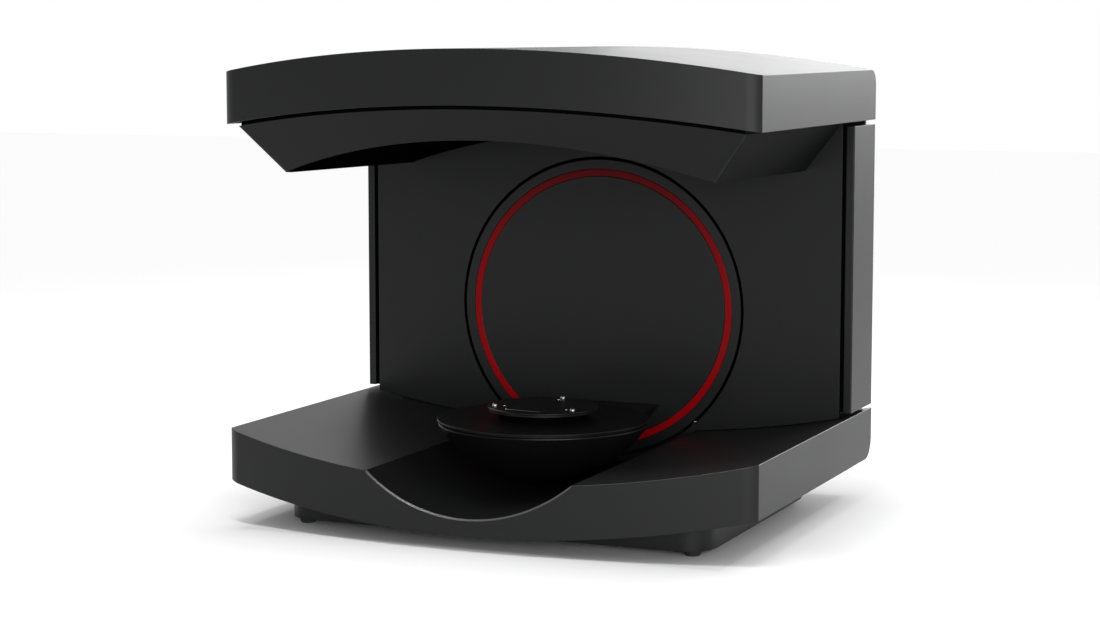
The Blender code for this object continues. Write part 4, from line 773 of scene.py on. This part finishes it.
def makeDisc():
    rear, gap, edge = wallFront + disc["thickness"], body["gap"], disc["edge"]
    floor = wallFront + disc["ringDepth"] + gap
    inner, outer = disc["ringInner"], disc["ringOuter"]
    piece = spinOnSwing(
        "swingDisc",
        [
            (0.0, rear, 0), (disc["radius"], rear, edge), (disc["radius"], wallFront, edge),
            (outer + gap, wallFront, edge / 2), (outer + gap, floor, 0), (inner - gap, floor, 0),
            (inner - gap, wallFront, edge / 2), (0.0, wallFront, 0),
        ],
        "cover_plastic", ["swing_disc"],
    )
    rim = disc["radius"] - edge - small

    def onRim(at, normal):
        return math.hypot(at.x, at.z - swingHeight) > rim and normal.y > -0.95

    # Painted shade: the disc's rim in the gap round it is black
    paintFaces(piece, paintedShadeBlack, onRim)
    deep = wallFront + disc["ringDepth"]
    spinOnSwing(
        "redRing",
        [(inner, deep, 0), (outer, deep, 0), (outer, wallFront, edge), (inner, wallFront, edge)],
        "red_plastic", ["red_ring"], closed=True,
    )


makeDisc()


# Bowl, arm, lid and turntable

bowl = {
    "rim": 0.082, "top": 0.0735, "depth": 0.0455, "round": 0.0010, "lipIn": 0.0014, "lipDown": 0.002,
    "groove": 0.0014, "lidEdge": 0.0019, "lidTopRound": 0.0009, "lidLowRound": 0.0005, "lidDepth": 0.003,
    "ledge": 0.0034, "neck": 0.0786, "wall": 0.003, "endWall": 0.004, "wallSlope": 1.3, "armTop": 0.0516,
    "armLow": (0.0236, 0.035), "armBottom": (0.010, 0.0292), "armRound": 0.0009, "bearing": 0.0113,
    "steps": 144, "arcSteps": 30,
}
coverBottom = bowl["top"] + bowl["groove"]
coverTop = coverBottom + bowl["lidEdge"]


def spinOnTable(name, corners, slot, carrier, nodes, finish):
    shape = bmesh.new()
    centre = (0.0, turntableY, 0.0)
    spinProfile(shape, roundedProfile(corners), (0.0, 0.0, 1.0), centre, bowl["steps"], True)
    return addPiece(name, shape, slot, carrier, nodes, finish=finish)


def bowlShell(inset):
    # The round part's outside, or with an inset the hollow in it
    reach, depth = bowl["rim"], bowl["depth"]
    radius = (depth**2 + reach**2) / (2 * depth)
    centre = bowl["top"] - depth + radius
    if inset:
        ledge = coverBottom - bowl["ledge"]
        first = math.acos((centre - ledge) / (radius - inset))
        profile = [(0.0, bowl["top"] + inset), (reach - inset, bowl["top"] + inset), (reach - inset, ledge)]
    else:
        first = math.acos((centre - bowl["top"] + bowl["round"]) / radius)
        corners = [
            (0.0, bowl["top"], 0), (reach, bowl["top"], bowl["round"]),
            (reach - bowl["lipIn"], bowl["top"] - bowl["lipDown"], 0),
        ]
        profile = roundedProfile(corners)[:-1]
    for i in range(1, bowl["arcSteps"] + 1):
        angle = first * (1 - i / bowl["arcSteps"])
        profile.append(((radius - inset) * math.sin(angle), centre - (radius - inset) * math.cos(angle)))
    shape = bmesh.new()
    spinProfile(shape, profile, (0.0, 0.0, 1.0), (0.0, turntableY, 0.0), bowl["steps"])
    return shape


def armShape(inset, top, start, end):
    # The arm's outline is drawn across and run back
    (lowX, lowZ), (endX, endZ) = bowl["armLow"], bowl["armBottom"]
    steep = inset * bowl["wallSlope"]
    outline = [
        (bowl["armTop"] - steep, top), (lowX - steep, lowZ + inset / 3), (endX - inset / 2, endZ + inset),
    ]
    outline += [(-x, z) for x, z in reversed(outline)]
    shape = bmesh.new()
    face = shape.faces.new([shape.verts.new((x, start, z)) for x, z in outline])
    made = bmesh.ops.extrude_face_region(shape, geom=[face])
    ahead = [item for item in made["geom"] if isinstance(item, bmesh.types.BMVert)]
    bmesh.ops.translate(shape, verts=ahead, vec=(0.0, end - start, 0.0))
    bmesh.ops.recalc_face_normals(shape, faces=shape.faces)
    return shape


def makeBowl():
    wall, armEnd = bowl["wall"], wallFront - body["gap"]
    arm = armShape(0.0, bowl["top"], turntableY, armEnd)
    bevelEdges(arm, sharpEdges(arm, 5, lambda a, b: max(a.y, b.y) > armEnd - 0.01), bowl["armRound"], 3)
    start = (turntableY + armEnd) / 2 - bowl["rim"] / 3
    tunnel = armShape(wall, bowl["top"] - wall, start, armEnd - bowl["endWall"])
    shape = carve(bowlShell(0.0), [arm], [bowlShell(wall), tunnel])
    addPiece("bowlAndArm", shape, "gloss_black", "swing", ["swing_arm"], 25.0)

    lidBottom = coverBottom - bowl["lidDepth"]
    spinOnTable(
        "bowlCover",
        [
            (bowl["bearing"], coverTop, 0), (bowl["rim"], coverTop, bowl["lidTopRound"]),
            (bowl["rim"], coverBottom, bowl["lidLowRound"]), (bowl["neck"], coverBottom, 0),
            (bowl["neck"], lidBottom, 0), (bowl["bearing"], lidBottom, 0),
        ],
        "gloss_black", "swing", ["bowl_cover"], lidBlack,
    )


plate = {
    "hub": 0.034, "bore": 0.0043, "hubRound": 0.0004, "top": 0.0865, "thickness": 0.0035, "ball": 0.002,
    "circle": 0.0375, "proud": 0.0003, "angle": -31, "slotHigh": 0.0001, "slotLow": 0.0009,
}


def makeTurntable():
    hubTop = plate["top"] - plate["thickness"] - body["gap"]
    hubLow = coverTop + body["gap"]
    bore, hub = plate["bore"], plate["hub"]
    spinOnTable(
        "turntableHub",
        [(bore, hubTop, 0), (hub, hubTop, plate["hubRound"]), (hub, hubLow, 0), (bore, hubLow, 0)],
        "gloss_black", "turntable", ["turntable_hub"], shadedHubBlack,
    )
    for i in range(3):
        angle = math.radians(plate["angle"] + 120 * i)
        shape = bmesh.new()
        bmesh.ops.create_icosphere(shape, subdivisions=4, radius=plate["ball"])
        x = plate["circle"] * math.cos(angle)
        y = turntableY + plate["circle"] * math.sin(angle)
        bmesh.ops.translate(shape, verts=shape.verts, vec=(x, y, plate["top"] + plate["proud"]))
        addPiece(f"locatingBall{i + 1}", shape, "steel", "turntable", [f"locating_ball_{i + 1}"])


makeBowl()
makeTurntable()
print("swing made")


# Pieces that keep the solid's own shape: merged, its flats joined, its edges softened

softCopies = {
    "wall_panel": 0.0004, "side_cover_left": 0.0004, "side_cover_right": 0.0004, "rear_cover": 0.0003,
    "optics_panel": 0.0003, "model_plate": 0.00012, "base_pan": 0.0010, "rear_screw_1": 0.0002,
    "rear_screw_2": 0.0002, "rear_screw_3": 0.0002, "rear_screw_4": 0.0002, "power_inlet": 0.0002,
    "usb_port": 0.0001, "switch_frame": 0.0002, "power_rocker": 0.0003,
}
grooveWidth = 0.0032
coverSeat = 0.0064
coverInner = -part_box("side_cover_left")[0].x - coverSeat


def pieceName(node):
    words = node.split("_")
    return words[0] + "".join(word.capitalize() for word in words[1:])


def softCopy(node, edge, finish):
    source = frame["nodes"][node]
    shape = bmesh.new()
    shape.from_mesh(source.data)
    bmesh.ops.remove_doubles(shape, verts=shape.verts, dist=2 * tiny)
    bmesh.ops.dissolve_limit(
        shape, angle_limit=math.radians(0.6), verts=shape.verts, edges=shape.edges, delimit=set(),
    )
    bevelEdges(shape, sharpEdges(shape, 35), edge, 2)
    return addPiece(pieceName(node), shape, slotOf[node], body_of(source)[0], [node], finish=finish)


def inGroove(at, normal):
    return coverInner - grooveWidth - 2 * close < abs(at.x) and at.y > wallFront + 2 * close


def besideHole(at, normal):
    return math.hypot(at.x, at.z - swingHeight) < disc["radius"] + disc["holeBand"] and normal.y > -0.97


def onFlange(at, normal):
    return abs(at.x) < coverInner + 2 * close


def inSlot(at, normal):
    inside = math.hypot(at.x, at.y - turntableY) < plate["circle"]
    return inside and plate["slotHigh"] < plate["top"] - at.z < plate["slotLow"]


# Painted shade: black in the wall panel's groove and round the disc's hole, and on the side covers' flanges
secondFinishes = {
    "wall_panel": [(paintedShadeBlack, inGroove), (paintedShadeBlack, besideHole)],
    "side_cover_left": [(paintedShadeBlack, onFlange)],
    "side_cover_right": [(paintedShadeBlack, onFlange)],
    "model_plate": [(slotMetal, inSlot)],
}
# The optics panel takes the black of painted shade
for node, edgeRound in softCopies.items():
    piece = softCopy(node, edgeRound, paintedShadeBlack if node == "optics_panel" else None)
    for finish, test in secondFinishes.get(node, []):
        paintFaces(piece, finish, test)

# The feet stand on a rounded tip

foot = {
    "radius": 0.006, "tip": 0.0052, "top": 0.0040, "waist": 0.0024, "edge": 0.0004, "round": 0.0008,
    "steps": 48,
}


def makeFoot(node):
    low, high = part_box(node)
    middle = (Vector(low) + Vector(high)) / 2
    shape = bmesh.new()
    corners = [
        (0.0, foot["top"], 0), (foot["radius"], foot["top"], foot["edge"]),
        (foot["radius"], foot["waist"], foot["edge"]), (foot["tip"], 0.0, foot["round"]), (0.0, 0.0, 0),
    ]
    centre = (middle.x, middle.y, 0.0)
    spinProfile(shape, roundedProfile(corners), (0.0, 0.0, 1.0), centre, foot["steps"])
    addPiece(pieceName(node), shape, "rubber", "body", [node])


for node in ("foot_front_left", "foot_front_right", "foot_rear_left", "foot_rear_right"):
    makeFoot(node)
print("other pieces made")

# The solids that stay as they are take their finish; the plate behind the disc's gap takes the black of
# painted shade
for name, solid in frame["nodes"].items():
    for held in solid.material_slots:
        held.material = paintedShadeBlack if name == "drive_plate" else finishes[slotOf[name]]


# Studio: pale floor, white surroundings whose light is dimmer towards the front, and large soft lamps

studio = {
    "floorSize": 6.0, "floorTint": 0.80, "floorBounce": 0.25, "floorLift": 0.75, "liftPower": 0.4,
    "liftMost": 0.38, "shade": (0.19, 0.15, 0.0), "brightSide": (0.30, 0.95, 0.0),
    "worldFade": (-0.6, 0.7), "worldLight": (0.5, 1.0), "worldSeen": (0.30, 1.0),
}


def addSeenRay(nodes, links):
    # 1 for camera, glossy and transmission rays, 0 for the rays that light surfaces
    ray = nodes.new("ShaderNodeLightPath")
    seen = nodes.new("ShaderNodeMath")
    seen.operation = "MAXIMUM"
    through = nodes.new("ShaderNodeMath")
    through.operation = "MAXIMUM"
    links.new(ray.outputs["Is Camera Ray"], seen.inputs[0])
    links.new(ray.outputs["Is Glossy Ray"], seen.inputs[1])
    links.new(seen.outputs["Value"], through.inputs[0])
    links.new(ray.outputs["Is Transmission Ray"], through.inputs[1])
    return through.outputs["Value"]


def makeFloor():
    shape = bmesh.new()
    bmesh.ops.create_grid(shape, x_segments=1, y_segments=1, size=studio["floorSize"])
    mesh = bpy.data.meshes.new("studioFloor")
    shape.to_mesh(mesh)
    shape.free()
    floor = bpy.data.objects.new("studioFloor", mesh)
    bpy.context.scene.collection.objects.link(floor)
    paint = newMaterial(
        "floorPaint", (0.8, 0.8, 0.8), 0.9, Specular_IOR_Level=0.0, Emission_Color=(1.0, 1.0, 1.0, 1.0),
    )
    nodes, links = paint.node_tree.nodes, paint.node_tree.links
    seen = addSeenRay(nodes, links)
    tint = nodes.new("ShaderNodeMapRange")
    tint.inputs["To Min"].default_value = studio["floorBounce"]
    tint.inputs["To Max"].default_value = studio["floorTint"]
    # Painted light on the floor: for seen rays its glow rises with the distance from what the object
    # shades, leaving a painted shadow round the object
    place = nodes.new("ShaderNodeTexCoord")
    last = place.outputs["Object"]
    for operation, operand in (
        ("ABSOLUTE", None), ("SUBTRACT", studio["shade"]), ("MAXIMUM", (0.0, 0.0, 0.0)), ("LENGTH", None),
    ):
        step = nodes.new("ShaderNodeVectorMath")
        step.operation = operation
        links.new(last, step.inputs[0])
        if operand:
            step.inputs[1].default_value = operand
        last = step.outputs["Value" if operation == "LENGTH" else "Vector"]
    for operation, operand in (
        ("POWER", studio["liftPower"]), ("MULTIPLY", studio["floorLift"]), ("MINIMUM", studio["liftMost"]),
    ):
        step = nodes.new("ShaderNodeMath")
        step.operation = operation
        links.new(last, step.inputs[0])
        step.inputs[1].default_value = operand
        last = step.outputs["Value"]
    lift = nodes.new("ShaderNodeMath")
    lift.operation = "MULTIPLY"
    links.new(last, lift.inputs[0])
    links.new(seen, lift.inputs[1])
    links.new(seen, tint.inputs["Value"])
    links.new(tint.outputs["Result"], nodes["Principled BSDF"].inputs["Base Color"])
    links.new(lift.outputs["Value"], nodes["Principled BSDF"].inputs["Emission Strength"])
    mesh.materials.append(paint)


def makeWorld():
    # Light comes mostly from behind; a reflection is white there and pale towards the front
    world = bpy.data.worlds.new("studioWorld")
    bpy.context.scene.world = world
    world.use_nodes = True
    nodes, links = world.node_tree.nodes, world.node_tree.links
    nodes.clear()
    place = nodes.new("ShaderNodeTexCoord")
    lean = nodes.new("ShaderNodeVectorMath")
    lean.operation = "DOT_PRODUCT"
    lean.inputs[1].default_value = studio["brightSide"]
    links.new(place.outputs["Generated"], lean.inputs[0])
    mix = nodes.new("ShaderNodeMixShader")
    links.new(addSeenRay(nodes, links), mix.inputs["Fac"])
    for i, (low, high) in enumerate((studio["worldLight"], studio["worldSeen"])):
        fade = nodes.new("ShaderNodeMapRange")
        fade.inputs["From Min"].default_value, fade.inputs["From Max"].default_value = studio["worldFade"]
        fade.inputs["To Min"].default_value = low
        fade.inputs["To Max"].default_value = high
        side = nodes.new("ShaderNodeBackground")
        side.inputs["Color"].default_value = (1.0, 1.0, 1.0, 1.0)
        links.new(lean.outputs["Value"], fade.inputs["Value"])
        strength = fade.outputs["Result"]
        if i == 1:
            # The camera itself sees white on every side
            whole = nodes.new("ShaderNodeMath")
            whole.operation = "MAXIMUM"
            links.new(strength, whole.inputs[0])
            links.new(nodes.new("ShaderNodeLightPath").outputs["Is Camera Ray"], whole.inputs[1])
            strength = whole.outputs["Value"]
        links.new(strength, side.inputs["Strength"])
        links.new(side.outputs["Background"], mix.inputs[i + 1])
    out = nodes.new("ShaderNodeOutputWorld")
    links.new(mix.outputs["Shader"], out.inputs["Surface"])


# Each lamp's place, aim, width and height, power in watts and spread in degrees
lamps = {
    "rearLamp": ((0.2, 2.3, 0.75), (0.0, 0.0, 0.36), (2.2, 0.8), 5.0, 70),
    "sideLamp": ((1.3, 2.2, 1.0), (0.2, 0.0, 0.33), (1.0, 1.0), 2.0, 60),
    "topLamp": ((-0.1, -0.50, 2.3), (0.0, -0.15, 0.1), (1.1, 0.25), 1.7, 50),
    "frontLamp": ((1.35, -2.0, 0.45), (0.1, -0.1, 0.2), (2.2, 0.8), 12.0, 120),
}


def makeLamp(name, place, aim, size, power, spread):
    light = bpy.data.lights.new(name, "AREA")
    light.shape = "RECTANGLE"
    light.size, light.size_y = size
    light.energy = power
    light.spread = math.radians(spread)
    lamp = bpy.data.objects.new(name, light)
    lamp.location = place
    lamp.rotation_euler = (Vector(aim) - Vector(place)).to_track_quat("-Z", "Y").to_euler()
    lamp.visible_camera = False
    bpy.context.scene.collection.objects.link(lamp)


# Fitted to the photograph; tilt and turn are in degrees
shot = {"lens": 80.40, "sensor": 36.0, "place": (0.7344, -1.7389, 0.3711), "tilt": 83.584, "turn": 22.929}


def makeCamera():
    view = bpy.data.cameras.new("productCamera")
    view.lens = shot["lens"]
    view.sensor_width = shot["sensor"]
    camera = bpy.data.objects.new("productCamera", view)
    camera.location = shot["place"]
    camera.rotation_euler = (math.radians(shot["tilt"]), 0.0, math.radians(shot["turn"]))
    bpy.context.scene.collection.objects.link(camera)
    bpy.context.scene.camera = camera


makeFloor()
makeWorld()
for name, settings in lamps.items():
    makeLamp(name, *settings)
makeCamera()
bpy.context.scene.view_settings.view_transform = "Standard"
print("studio made")
